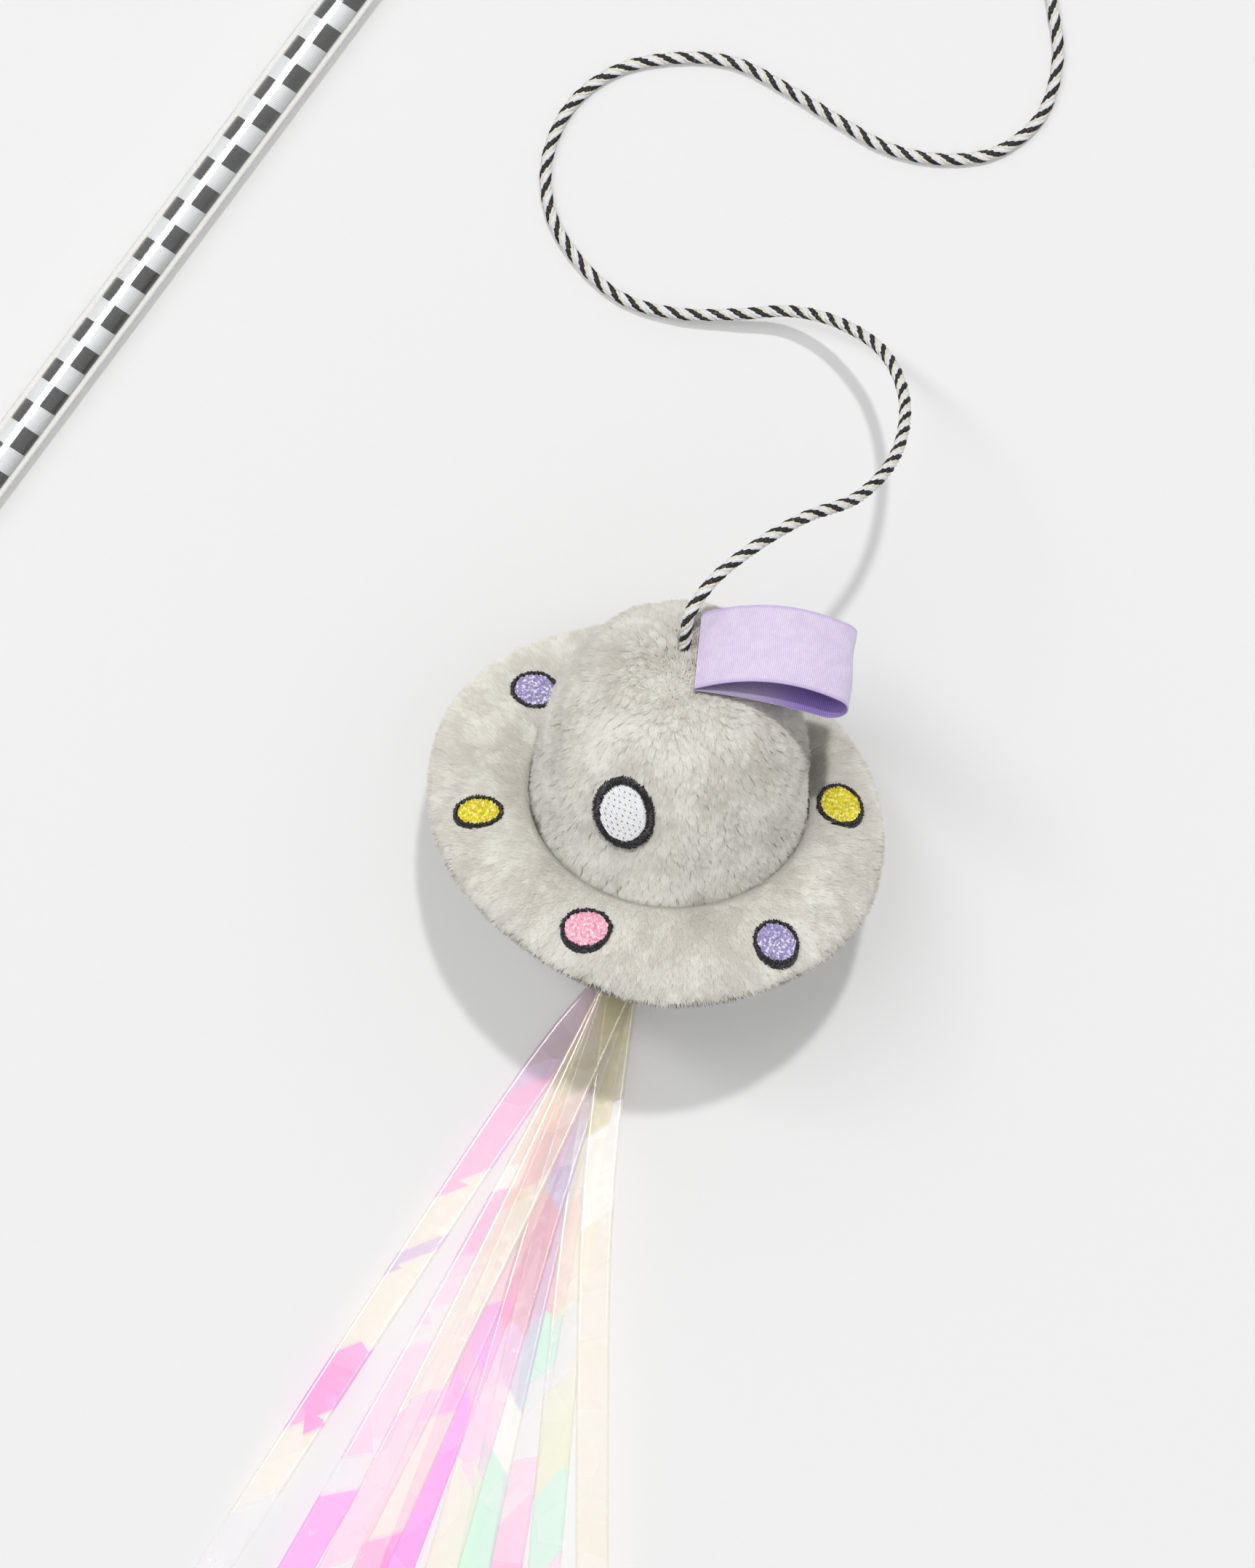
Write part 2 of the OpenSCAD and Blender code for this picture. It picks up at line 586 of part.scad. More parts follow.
// The stitched outline round a pad
module pad_line(f, a, b, line, sides = 24) {
    row = function(i, off) [for (w = [0, line])
        f((a - w) * cos(360 * i / sides), (b - w) * sin(360 * i / sides), off)];
    skin([for (i = [0:sides - 1]) row(i, stitch_seat + stitch_t)],
        [for (i = [0:sides - 1]) row(i, stitch_seat)], true);
}

module window_fill() {
    f = function(u, v, off) on_dome(window_az, window_z, u, v, off);
    edge = window_line + touch_gap;
    color("white") place_toy() pad(f, window_w / 2 - edge, window_h / 2 - edge);
}

module window_outline() {
    f = function(u, v, off) on_dome(window_az, window_z, u, v, off);
    color([0.1, 0.1, 0.1]) place_toy() pad_line(f, window_w / 2, window_h / 2, window_line);
}

function dot_place(k) = let (az = dot_azs[k], r = brim_in
    + dot_out_shares[k] * (brim_edge(az) - brim_in))
    function(u, v, off) on_brim(az, r, u, v, off);

module dot_fill(k) {
    edge = dot_line + touch_gap;
    color(dot_colours[k]) place_toy() pad(dot_place(k), dot_r - edge, dot_r - edge, 16);
}

module dot_outline(k) {
    color([0.1, 0.1, 0.1]) place_toy() pad_line(dot_place(k), dot_r, dot_r, dot_line, 20);
}

// The folded label ribbon: its line arches up from the seam, goes round the fold and comes
// back under itself, so that the two layers part into a loop.
tag_peak = tag_len * tag_peak_share;
tag_turn = tag_len * tag_turn_share;
tag_lap = tag_t + touch_gap;
function tag_over(x) = tag_arch * (1 - pow(1 - x / tag_peak, 2));
function tag_line() = let (
    slope = atan(2 * tag_arch * (1 - tag_turn / tag_peak) / tag_peak),
    mid = [tag_turn, tag_over(tag_turn)] + tag_fold_r * [sin(slope), -cos(slope)],
    a0 = 90 + slope,
    a1 = -90 - tag_back_a,
    back = mid + tag_fold_r * [cos(a1), sin(a1)],
    drop = -back[1] - tag_lap,
    power = tan(tag_back_a) * back[0] / drop)
    concat([for (k = [0:11]) [tag_turn * k / 12, tag_over(tag_turn * k / 12)]],
        [for (k = [0:18]) mid + tag_fold_r * [cos(a0 + (a1 - a0) * k / 18),
            sin(a0 + (a1 - a0) * k / 18)]],
        [for (k = [11:-1:0]) [back[0] * k / 12, -tag_lap - drop * pow(k / 12, power)]]);
// A strip of the given thickness along a flat line
function strip(line, t) = let (last = len(line) - 1,
    side = function(i) let (d = unit(line[min(i + 1, last)] - line[max(i - 1, 0)]))
        [-d[1], d[0]] * t / 2)
    concat([for (i = [0:last]) line[i] + side(i)], [for (i = [last:-1:0]) line[i] - side(i)]);

module ribbon_tag() {
    color([0.84, 0.75, 0.94]) place_toy()
        translate([tag_seam, tag_w * tag_off_share, dome_h + tag_seat])
            rotate([90 + tag_twist, 0, 0])
                linear_extrude(height = tag_w, center = true) polygon(strip(tag_line(), tag_t));
}

// Height of the collar's hole for the stacked strips
stack_h = film_pitch * (len(film_azs) - 1) + film_t;
collar_h = stack_h + 2 * collar_gap;

// Thread collar round the strips where they leave the belly
module streamer_binding() {
    wide = film_w + 2 * collar_gap;
    color("whitesmoke")
        translate([mouth_x + root_off[0], wand_y + root_off[1], film_seat])
            rotate([0, 0, film_mid_az]) translate([0, -wide / 2 - collar_wall, 0])
                difference() {
                    cube([collar_len, wide + 2 * collar_wall, collar_h + 2 * collar_wall]);
                    translate([-cut, collar_wall, collar_wall])
                        cube([collar_len + 2 * cut, wide, collar_h]);
                }
}

// One film strip: straight in the collar, then a curve that its knee draws aside; t runs from the
// bend behind the collar to the tip
function film_at(k, t) = pow(1 - t, 3) * (root_off + film_bend * film_dir)
    + 3 * t * (1 - t) * film_knee(k) + pow(t, 3) * film_tip(k);
function film_low(k, c) = film_seat + collar_wall + collar_gap + k * film_pitch
    + film_len * film_lift_share * pow(sin(180 * norm(c - root_off) / film_len), 2);
function film_line(k) = concat(
    [for (s = [collar_gap, collar_len + collar_gap]) root_off + s * film_dir],
    [for (i = [0:film_rows]) film_at(k, i / film_rows)]);

module streamer(k) {
    line = film_line(k);
    last = len(line) - 1;
    row = function(i, off) let (
        c = line[i],
        way = i < 2 ? film_dir : i == last ? toward(film_far_azs[k])
            : unit(line[i + 1] - line[i - 1]),
        side = film_w / 2 * [-way[1], way[0]])
        [for (e = [-1, 1]) [mouth_x + c[0] + e * side[0], wand_y + c[1] + e * side[1],
            film_low(k, c) + off]];
    color([0.98, 0.85, 0.9, 0.6])
        skin([for (i = [0:last]) row(i, film_t)], [for (i = [0:last]) row(i, 0)]);
}

wand_tube();
check_ribbon();
tip_plug();
tip_knot();
butt_plug();
cord_tip_run();
cord_coil();
cord_toy_run();
dome_gore(0);  // dome_gore_1
dome_gore(1);  // dome_gore_2
dome_gore(2);  // dome_gore_3
dome_gore(3);  // dome_gore_4
belly_gore(0);  // belly_gore_1
belly_gore(1);  // belly_gore_2
belly_gore(2);  // belly_gore_3
belly_gore(3);  // belly_gore_4
body_filling();
brim_top_panel();
brim_under_panel();
brim_padding();
window_fill();
window_outline();
dot_fill(0);  // dot_fill_1
dot_fill(1);  // dot_fill_2
dot_fill(2);  // dot_fill_3
dot_fill(3);  // dot_fill_4
dot_fill(4);  // dot_fill_5
dot_fill(5);  // dot_fill_6
dot_outline(0);  // dot_outline_1
dot_outline(1);  // dot_outline_2
dot_outline(2);  // dot_outline_3
dot_outline(3);  // dot_outline_4
dot_outline(4);  // dot_outline_5
dot_outline(5);  // dot_outline_6
cord_anchor();
streamer_tack();
ribbon_tag();
streamer_binding();
streamer(0);  // streamer_1
streamer(1);  // streamer_2
streamer(2);  // streamer_3
streamer(3);  // streamer_4
streamer(4);  // streamer_5
streamer(5);  // streamer_6
streamer(6);  // streamer_7
streamer(7);  // streamer_8
streamer(8);  // streamer_9
streamer(9);  // streamer_10
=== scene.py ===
import math

import bpy
import numpy as np
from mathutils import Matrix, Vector


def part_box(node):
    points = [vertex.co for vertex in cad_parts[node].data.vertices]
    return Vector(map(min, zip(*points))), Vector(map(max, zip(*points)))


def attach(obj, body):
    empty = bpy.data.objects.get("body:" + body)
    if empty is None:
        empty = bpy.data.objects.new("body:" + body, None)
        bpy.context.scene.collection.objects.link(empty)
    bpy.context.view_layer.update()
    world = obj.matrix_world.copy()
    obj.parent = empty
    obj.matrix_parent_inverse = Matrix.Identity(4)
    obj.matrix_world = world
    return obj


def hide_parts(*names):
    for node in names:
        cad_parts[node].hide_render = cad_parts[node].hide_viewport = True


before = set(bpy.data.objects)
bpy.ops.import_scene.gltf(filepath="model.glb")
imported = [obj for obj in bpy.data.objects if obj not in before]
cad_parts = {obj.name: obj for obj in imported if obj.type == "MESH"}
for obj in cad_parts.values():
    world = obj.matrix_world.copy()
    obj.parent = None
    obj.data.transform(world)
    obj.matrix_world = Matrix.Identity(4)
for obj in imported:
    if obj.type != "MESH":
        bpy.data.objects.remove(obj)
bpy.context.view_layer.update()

mm = 0.001
rng = np.random.default_rng(11)


def unit(v):
    v = np.asarray(v, float)
    return v / np.maximum(np.linalg.norm(v, axis=-1, keepdims=True), 1e-12)


def cosOf(a):
    return np.cos(np.radians(a))


def sinOf(a):
    return np.sin(np.radians(a))


def ease(t):
    t = np.clip(t, 0, 1)
    return t * t * (3 - 2 * t)


def tone(r, g, b):
    # a colour given 0 to 255, as the shaders want it
    shares = (c / 255 for c in (r, g, b))
    return (*((s / 12.92 if s < 0.0408 else ((s + 0.055) / 1.055) ** 2.4) for s in shares), 1.0)


def meshPiece(name, points, faces, finish, corners=None, uvName="lay", smooth=True):
    # points are in millimetres, corners holds one pair for each corner of each face
    mesh = bpy.data.meshes.new(name)
    mesh.from_pydata((np.asarray(points, float).reshape(-1, 3) * mm).tolist(), [], faces)
    if corners is not None:
        mesh.uv_layers.new(name=uvName).data.foreach_set("uv", np.asarray(corners, np.float32).ravel())
    if finish:
        mesh.materials.append(finish)
    mesh.polygons.foreach_set("use_smooth", [smooth] * len(mesh.polygons))
    mesh.update()
    piece = bpy.data.objects.new(name, mesh)
    bpy.context.scene.collection.objects.link(piece)
    return piece


def gridFaces(rows, cols, wrap):
    i, j = (k.ravel() for k in np.meshgrid(np.arange(rows - 1), np.arange(cols - (not wrap)), indexing="ij"))
    k = (j + 1) % cols
    faces = np.stack([i * cols + j, i * cols + k, (i + 1) * cols + k, (i + 1) * cols + j], -1)
    return faces.tolist(), i, j


def gridPiece(name, points, finish, u=None, v=None, wrap=False, caps=False, uvName="lay"):
    # rows run along the first axis and columns round the second, counter-clockwise seen against the rows
    rows, cols = points.shape[:2]
    faces, i, j = gridFaces(rows, cols, wrap)
    u = np.arange(rows) / (rows - 1) if u is None else np.asarray(u)
    v = np.arange(cols + 1) / (cols if wrap else cols - 1) if v is None else np.asarray(v)
    corners = np.stack([u[i], v[j], u[i], v[j + 1], u[i + 1], v[j + 1], u[i + 1], v[j]],
                       -1).reshape(-1, 2).tolist()
    flat = points.reshape(-1, 3)
    if caps:
        for ring, turn in ((0, -1), (rows - 1, 1)):
            middle = len(flat)
            flat = np.vstack([flat, points[ring].mean(0)])
            for c in range(cols):
                pair = [ring * cols + c, ring * cols + (c + 1) % cols][::turn]
                faces.append(pair + [middle])
                corners += [[u[ring], v[c]], [u[ring], v[c + 1]], [u[ring], v[c]]]
    return meshPiece(name, flat, faces, finish, corners, uvName)


def thicken(piece, depth, offset=-1.0):
    wall = piece.modifiers.new("wall", "SOLIDIFY")
    wall.thickness = depth * mm
    wall.offset = offset
    return piece


def note(piece, name, values, kind="FLOAT"):
    # keeps a value for each point, for Geometry Nodes or a shader to read
    field = "vector" if kind == "FLOAT_VECTOR" else "value"
    values = np.asarray(values, np.float32).ravel()
    piece.data.attributes.new(name, kind, "POINT").data.foreach_set(field, values)


class Wire:
    # one output of a node, with arithmetic that adds Math nodes
    def __init__(self, bench, socket):
        self.bench = bench
        self.socket = socket

    def maths(self, operation, *values):
        return self.bench.node("ShaderNodeMath", {"operation": operation}, dict(enumerate([self, *values])))

    __add__ = __radd__ = lambda self, other: self.maths("ADD", other)
    __mul__ = __rmul__ = lambda self, other: self.maths("MULTIPLY", other)
    __sub__ = lambda self, other: self.maths("SUBTRACT", other)
    __rsub__ = lambda self, other: self.bench.node("ShaderNodeMath", {"operation": "SUBTRACT"},
                                                   {0: other, 1: self})
    __truediv__ = lambda self, other: self.maths("DIVIDE", other)
    __lt__ = lambda self, other: self.maths("LESS_THAN", other)
    __gt__ = lambda self, other: self.maths("GREATER_THAN", other)

    def wave(self):
        return self.maths("SINE") * 0.5 + 0.5

    def fraction(self):
        return self.maths("FRACT")

    def between(self, low, high):
        # 0 below low, 1 above high, smooth between them
        return self.bench.node("ShaderNodeMapRange", {"interpolation_type": "SMOOTHSTEP"},
                               {0: self, 1: low, 2: high})

    def out(self, name):
        return Wire(self.bench, self.socket.node.outputs[name])


class Bench:
    # makes the nodes of one tree
    def __init__(self, tree):
        self.tree = tree

    def node(self, kind, settings=None, sockets=None, out=0):
        made = self.tree.nodes.new(kind)
        for name, value in (settings or {}).items():
            if name == "stops":
                ramp = made.color_ramp
                while len(ramp.elements) < len(value):
                    ramp.elements.new(1.0)
                for stop, (place, colour) in zip(ramp.elements, sorted(value)):
                    stop.position = place
                    stop.color = colour
            else:
                setattr(made, name, value)
        for name, value in (sockets or {}).items():
            if isinstance(value, Wire):
                self.tree.links.new(value.socket, made.inputs[name])
            else:
                made.inputs[name].default_value = value
        return Wire(self, made.outputs[out]) if len(made.outputs) else None

    def blend(self, share, low, high):
        return self.node("ShaderNodeMix", {"data_type": "RGBA"}, {0: share, 6: low, 7: high}, 2)

    def shift(self, operation, *values, scale=None):
        sockets = dict(enumerate(values))
        if scale is not None:
            sockets["Scale"] = scale
        return self.node("ShaderNodeVectorMath", {"operation": operation}, sockets)

    def object(self):
        return self.node("ShaderNodeTexCoord").out("Object")

    def grain(self, scale, detail=2.0, at=None, rough=0.5):
        return self.node("ShaderNodeTexNoise", None, {
            "Vector": at or self.object(), "Scale": scale, "Detail": detail, "Roughness": rough})

    def cells(self, scale, at=None):
        return self.node("ShaderNodeTexVoronoi", None, {"Vector": at or self.object(), "Scale": scale})

    def uv(self, name):
        return self.node("ShaderNodeSeparateXYZ", None, {0: self.node("ShaderNodeUVMap", {"uv_map": name})})

    def surface(self, sockets, bump=None, reach=0.1, strength=0.5):
        # the one shader of a material, with a height in reach millimetres for its bump
        if bump is not None:
            sockets = {**sockets, "Normal": self.node("ShaderNodeBump", None, {
                "Height": bump, "Distance": reach * mm, "Strength": strength})}
        return self.node("ShaderNodeBsdfPrincipled", None, sockets)

    def letThrough(self, shader, share, level=1.0):
        # part of the light goes on through, so that what lies under it isn't black
        shadow = self.node("ShaderNodeLightPath").out("Is Shadow Ray") * share
        clear = self.node("ShaderNodeBsdfTransparent", None, {"Color": (level, level, level, 1)})
        return self.node("ShaderNodeMixShader", None, {0: shadow, 1: shader, 2: clear})

    def seen(self):
        # 1 for rays that the camera sends, straight, mirrored or through glass
        ray = self.node("ShaderNodeLightPath")
        return (ray + ray.out("Is Glossy Ray") + ray.out("Is Transmission Ray")).maths("MINIMUM", 1.0)

    def attribute(self, name, kind="FLOAT_VECTOR"):
        return self.node("GeometryNodeInputNamedAttribute", {"data_type": kind}, {"Name": name})

    def store(self, shape, name, value, kind="FLOAT_VECTOR", domain="POINT"):
        return self.node("GeometryNodeStoreNamedAttribute", {"data_type": kind, "domain": domain},
                         {0: shape, "Name": name, "Value": value})

    def chance(self, low, high, seed):
        return self.node("FunctionNodeRandomValue", {"data_type": "FLOAT"},
                         {2: low, 3: high, "Seed": seed}, 1)

    def dot(self, a, b):
        return self.shift("DOT_PRODUCT", a, b).out("Value")

    def copies(self, points, thing, upright, across, axis, size):
        # one real copy of a thing on each point
        shape = self.node("GeometryNodeObjectInfo", None, {0: thing}).out("Geometry")
        turn = self.node("FunctionNodeAxesToRotation", {"primary_axis": "Z", "secondary_axis": axis},
                         {0: upright, 1: across})
        laid = self.node("GeometryNodeInstanceOnPoints", None, {
            "Points": points, "Instance": shape, "Rotation": turn, "Scale": size})
        return self.node("GeometryNodeRealizeInstances", None, {0: laid})

    def finished(self, shape, finish):
        return self.node("GeometryNodeSetMaterial", None, {0: shape, "Material": finish})


def newFinish(name, build):
    made = bpy.data.materials.new(name)
    made.use_nodes = True
    made.node_tree.nodes.clear()
    bench = Bench(made.node_tree)
    bench.node("ShaderNodeOutputMaterial", None, {"Surface": build(bench)})
    return made


def newTree(name, inputs, build):
    tree = bpy.data.node_groups.new(name, "GeometryNodeTree")
    for label, kind in [("Geometry", "NodeSocketGeometry"), *inputs]:
        tree.interface.new_socket(label, in_out="INPUT", socket_type=kind)
    tree.interface.new_socket("Geometry", in_out="OUTPUT", socket_type="NodeSocketGeometry")
    bench = Bench(tree)
    given = bench.node("NodeGroupInput")
    bench.node("NodeGroupOutput", None, {0: build(bench, given)})
    return tree


def grow(name, seat, tree, values):
    # runs a tree on a seat and keeps its result as a plain mesh
    modifier = seat.modifiers.new("grow", "NODES")
    modifier.node_group = tree
    for item in tree.interface.items_tree:
        if item.name in values:
            modifier[item.identifier] = values[item.name]
    bpy.context.view_layer.update()
    seen = seat.evaluated_get(bpy.context.evaluated_depsgraph_get())
    piece = bpy.data.objects.new(name, bpy.data.meshes.new_from_object(seen))
    piece.data.name = name
    bpy.context.scene.collection.objects.link(piece)
    bpy.data.objects.remove(seat)
    return piece


def putAway(*objects):
    for o in objects:
        bpy.data.objects.remove(o)


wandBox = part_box("wand_tube")
wandY = (wandBox[0].y + wandBox[1].y) / 2 / mm
view = {"at": (-0.00613, (wandY - 131.774) * mm, 2.5), "turn": -53.13, "lens": 302.5}
camera = bpy.data.objects.new("camera", bpy.data.cameras.new("camera"))
camera.data.lens = view["lens"]
camera.data.sensor_width = 36
camera.location = view["at"]
camera.rotation_euler = (0, 0, math.radians(view["turn"]))
bpy.context.scene.collection.objects.link(camera)
bpy.context.scene.camera = camera

# strengths are what a surface sees, lamps lean from straight above the wand, sizes are in metres
light = {"key": 0.35, "keyFrom": (0.345, 0.15, 0.927), "keyAngle": 2.2, "around": 0.45, "paper": 0.887,
         "glow": 0.15, "strip": 12.0, "stripSize": (0.33, 1.9), "stripLean": 21.5, "stripAway": 3.2,
         "gloss": 14.0, "glossSize": (1.5, 1.55), "glossLean": 19.0, "glossAway": 3.1, "along": 0.02}


def addLamp(name, kind):
    made = bpy.data.objects.new(name + "Lamp", bpy.data.lights.new(name + "Lamp", kind))
    bpy.context.scene.collection.objects.link(made)
    return made


bpy.context.scene.view_settings.view_transform = "Standard"
lamp = addLamp("key", "SUN")
lamp.data.energy = light["key"] * math.pi / light["keyFrom"][2]
lamp.data.angle = math.radians(light["keyAngle"])
lamp.rotation_euler = Vector(light["keyFrom"]).to_track_quat("Z", "Y").to_euler()
for name in ("strip", "gloss"):
    lamp = addLamp(name, "AREA")
    lamp.data.shape = "RECTANGLE"
    lamp.data.size, lamp.data.size_y = light[name + "Size"]
    lamp.data.energy = light[name] * math.pi * lamp.data.size * lamp.data.size_y
    lean, away = math.radians(light[name + "Lean"]), light[name + "Away"]
    lamp.location = (light["along"], wandY * mm + away * math.sin(lean), away * math.cos(lean))
    lamp.rotation_euler = (-lean, 0, 0)
    lamp.visible_camera = False
lamp.visible_diffuse = lamp.visible_transmission = False  # the gloss lamp shows in gloss alone

world = bpy.data.worlds.new("room")
world.use_nodes = True
world.node_tree.nodes.clear()
sky = Bench(world.node_tree)
sky.node("ShaderNodeOutputWorld", None, {"Surface": sky.node("ShaderNodeBackground", None, {
    "Color": (1, 1, 1, 1), "Strength": light["around"] + sky.seen() * (light["paper"] - light["around"])})})
bpy.context.scene.world = world


def paperFinish(bench):
    # the camera sees paler shadows on the paper than the object's own light gives
    seen = bench.seen()
    level = light["paper"] - seen * light["glow"] + (bench.grain(900, 3) - 0.5) * 0.01
    return bench.surface({
        "Base Color": bench.node("ShaderNodeCombineColor", None, {0: level, 1: level, 2: level}),
        "Emission Color": bench.blend(seen, (0, 0, 0, 1), (light["glow"],) * 3 + (1,)),
        "Emission Strength": 1.0, "Roughness": 0.95, "Specular IOR Level": 0.0})


floor = meshPiece("floor", [[-1500, -1500, 0], [1500, -1500, 0], [1500, 1500, 0], [-1500, 1500, 0]],
                  [[0, 1, 2, 3]],
                  newFinish("paper", paperFinish), smooth=False)
print("camera, light and floor are set")


# the toy's shape as the solids have it, in millimetres and degrees
toy = {"tilt": 39, "turn": 31, "apexBack": 189.5, "apexSide": 125, "above": 0.15, "domeRadius": 26,
       "domeHeight": 47, "bellyHeight": 36, "domePower": 2.6, "bellyPower": 2, "seamAt": 20,
       "seamDip": 0.035, "brimRadius": 44.8, "brimThick": 9.8, "brimInner": 26.4, "brimPower": 2.667,
       "inset": 1.0, "rimInset": 1.9, "offCentre": 0.046, "oval": 0.04, "ovalAt": 135, "droop": 0.058,
       "warp": 0.053, "warpAt": 130, "ripple": 0.02, "flat": 0.28, "cloth": 0.6, "pole": 1.4}
mouth = np.array([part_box("tip_plug")[1].x / mm, wandY, (wandBox[0].z + wandBox[1].z) / 2 / mm])
tiltA, turnA = math.radians(toy["tilt"]), math.radians(toy["turn"] - 90)
toyTurn = (np.array([[math.cos(turnA), -math.sin(turnA), 0], [math.sin(turnA), math.cos(turnA), 0],
                     [0, 0, 1]])
           @ np.array([[1, 0, 0], [0, math.cos(tiltA), math.sin(tiltA)],
                       [0, -math.sin(tiltA), math.cos(tiltA)]]))
toyAxis = toyTurn[:, 2]
baseHeight = math.hypot(toy["domeRadius"] * math.sin(tiltA),
                        toy["bellyHeight"] * math.cos(tiltA)) + toy["above"]
apex = np.array([mouth[0] - toy["apexBack"], mouth[1] - toy["apexSide"],
                 baseHeight + toy["domeHeight"] * toyAxis[2]])
base = apex - toy["domeHeight"] * toyAxis


def onToy(p):
    return base + np.asarray(p) @ toyTurn.T


# the bands are the shares of half a turn where a yarn begins
# each knot has its depth, its tail's depth and its size
cord = {"d": 2.2, "lay": 8.3, "step": 0.5, "cols": 30, "full": 1.05, "deep": 0.2, "valley": 0.06,
        "bands": (0, 0.4, 0.72, 1), "knot": 0.045, "serration": 1.1, "coilR": 14.2, "coilPitch": 3.05,
        "coilRise": 2.75, "coilBack": 32, "coilSide": 70, "coilTurns": 3, "coilExit": 44, "climb": 180,
        "stub": 1.6, "knotThick": 0.8, "knotStep": 0.4, "tipKnot": (17.3, 0.9, 0.62),
        "domeKnot": (9.1, 2.7, 0.66)}
tipRoute = [
    [7.5, -0.4, 4.2], [11.3, -2, 3.4], [14, -5.2, 2.3], [14.6, -9.2, 1.6], [13, -13, 1.2], [9.6, -15.8, 1.2],
    [5, -17.4, 1.2], [-0.5, -18.4, 1.2], [-6, -19.6, 1.2], [-11, -22, 1.2], [-15, -26, 1.2],
    [-17.2, -31.5, 1.2], [-17.8, -38, 1.2], [-17.8, -45, 1.2], [-17.8, -52, 1.2], [-17.8, -59, 1.2]]
toyRoute = [
    [-28.5, -88, 2.8], [-34, -93.5, 1.6], [-41, -100, 1.2], [-49, -107, 1.2], [-57, -114.5, 1.2],
    [-67.5, -118.5, 1.2], [-78, -116, 1.2], [-85.5, -108.5, 1.2], [-90, -99, 1.2], [-91.5, -88.5, 1.2],
    [-92.5, -77.5, 1.2], [-94.5, -66, 1.2], [-100.5, -56.5, 1.2], [-109, -49, 1.2], [-119.5, -46, 1.2],
    [-130.5, -48.5, 1.2], [-138.5, -55.5, 1.2], [-142.5, -65.5, 1.2], [-143, -76, 1.4], [-139, -86, 2.8],
    [-132.5, -95, 5.2], [-126, -103, 9.2], [-122.5, -112, 16], [-122.5, -122, 26], [-128, -130.5, 37],
    [-137.5, -135, 48.5], [-148, -134, 58.5], [-157, -128.5, 66.5], [-166.5, -124.5, 72], [-176, -122, 75.2],
    [-183.5, -122, 75.4]]


def coilLine():
    # wound inwards on the floor, then outwards again on top of that layer
    turn, climb = 360 * cord["coilTurns"] + cord["coilExit"], cord["climb"]
    windIn = (turn - climb) / 2
    a = np.linspace(0, turn, 76)
    wound = np.where(a < windIn, a, np.where(a < windIn + climb, windIn, 2 * windIn + climb - a))
    r = cord["coilR"] - cord["coilPitch"] / 360 * wound
    middle = [mouth[0] - cord["coilBack"], mouth[1] - cord["coilSide"]]
    height = cord["d"] / 2 + 0.05 + cord["coilRise"] * ease((a - windIn) / climb)
    return np.column_stack([middle[0] + r * cosOf(a), middle[1] - r * sinOf(a), height])


def evenLine(points, step):
    # even steps along a smooth curve through the points
    p = np.asarray(points, float)
    ends = np.vstack([2 * p[0] - p[1], p, 2 * p[-1] - p[-2]])
    t = np.linspace(0, 1, 16, endpoint=False)[:, None]
    fine = [0.5 * (2 * b + (c - a) * t + (2 * a - 5 * b + 4 * c - d) * t**2 + (3 * b - a - 3 * c + d) * t**3)
            for a, b, c, d in zip(ends, ends[1:], ends[2:], ends[3:])]
    fine = np.vstack(fine + [p[-1:]])
    along = np.concatenate([[0], np.cumsum(np.linalg.norm(np.diff(fine, axis=0), axis=1))])
    even = np.linspace(0, along[-1], max(2, round(along[-1] / step)) + 1)
    return np.column_stack([np.interp(even, along, fine[:, k]) for k in range(3)]), even


def carriedFrames(line):
    # a frame that goes along the line without turning round it
    t = unit(np.gradient(line, axis=0))
    side = np.empty_like(t)
    side[0] = unit(np.cross(t[0], [0, 0, 1] if abs(t[0][2]) < 0.9 else [0, 1, 0]))
    for i in range(len(t) - 1):
        v = line[i + 1] - line[i]
        c = v @ v
        flat = side[i] - 2 / c * (v @ side[i]) * v
        way = t[i + 1] - (t[i] - 2 / c * (v @ t[i]) * v)
        w = way @ way
        side[i + 1] = unit(flat - 2 / w * (way @ flat) * way if w > 1e-12 else flat)
    return side, np.cross(t, side)


def twistedRope(name, points, finish, thick=1.0, step=None):
    # two dark and two pale yarn bands in a right-handed lay, with a valley between bands
    line, along = evenLine(points, step or cord["step"])
    side, up = carriedFrames(line)
    share = np.arange(cord["cols"]) / cord["cols"]
    edge = np.minimum.reduce([np.abs(share * 2 % 1 - e) for e in cord["bands"]])
    lump = 1 - cord["deep"] * np.exp(-(edge / cord["valley"]) ** 2)
    angle = 2 * math.pi * (share[None] + along[:, None] / cord["lay"])
    beads = 1 + cord["knot"] * np.sin(2 * math.pi * (along[:, None] / cord["serration"] + 2 * share[None]))
    r = thick * cord["d"] / 2 * cord["full"] * lump[None] * beads
    out = np.cos(angle)[..., None] * side[:, None] + np.sin(angle)[..., None] * up[:, None]
    piece = gridPiece(name, line[:, None] + r[..., None] * out, finish, along / cord["lay"],
                      np.arange(cord["cols"] + 1) / cord["cols"], True, True, "braid")
    return piece, line


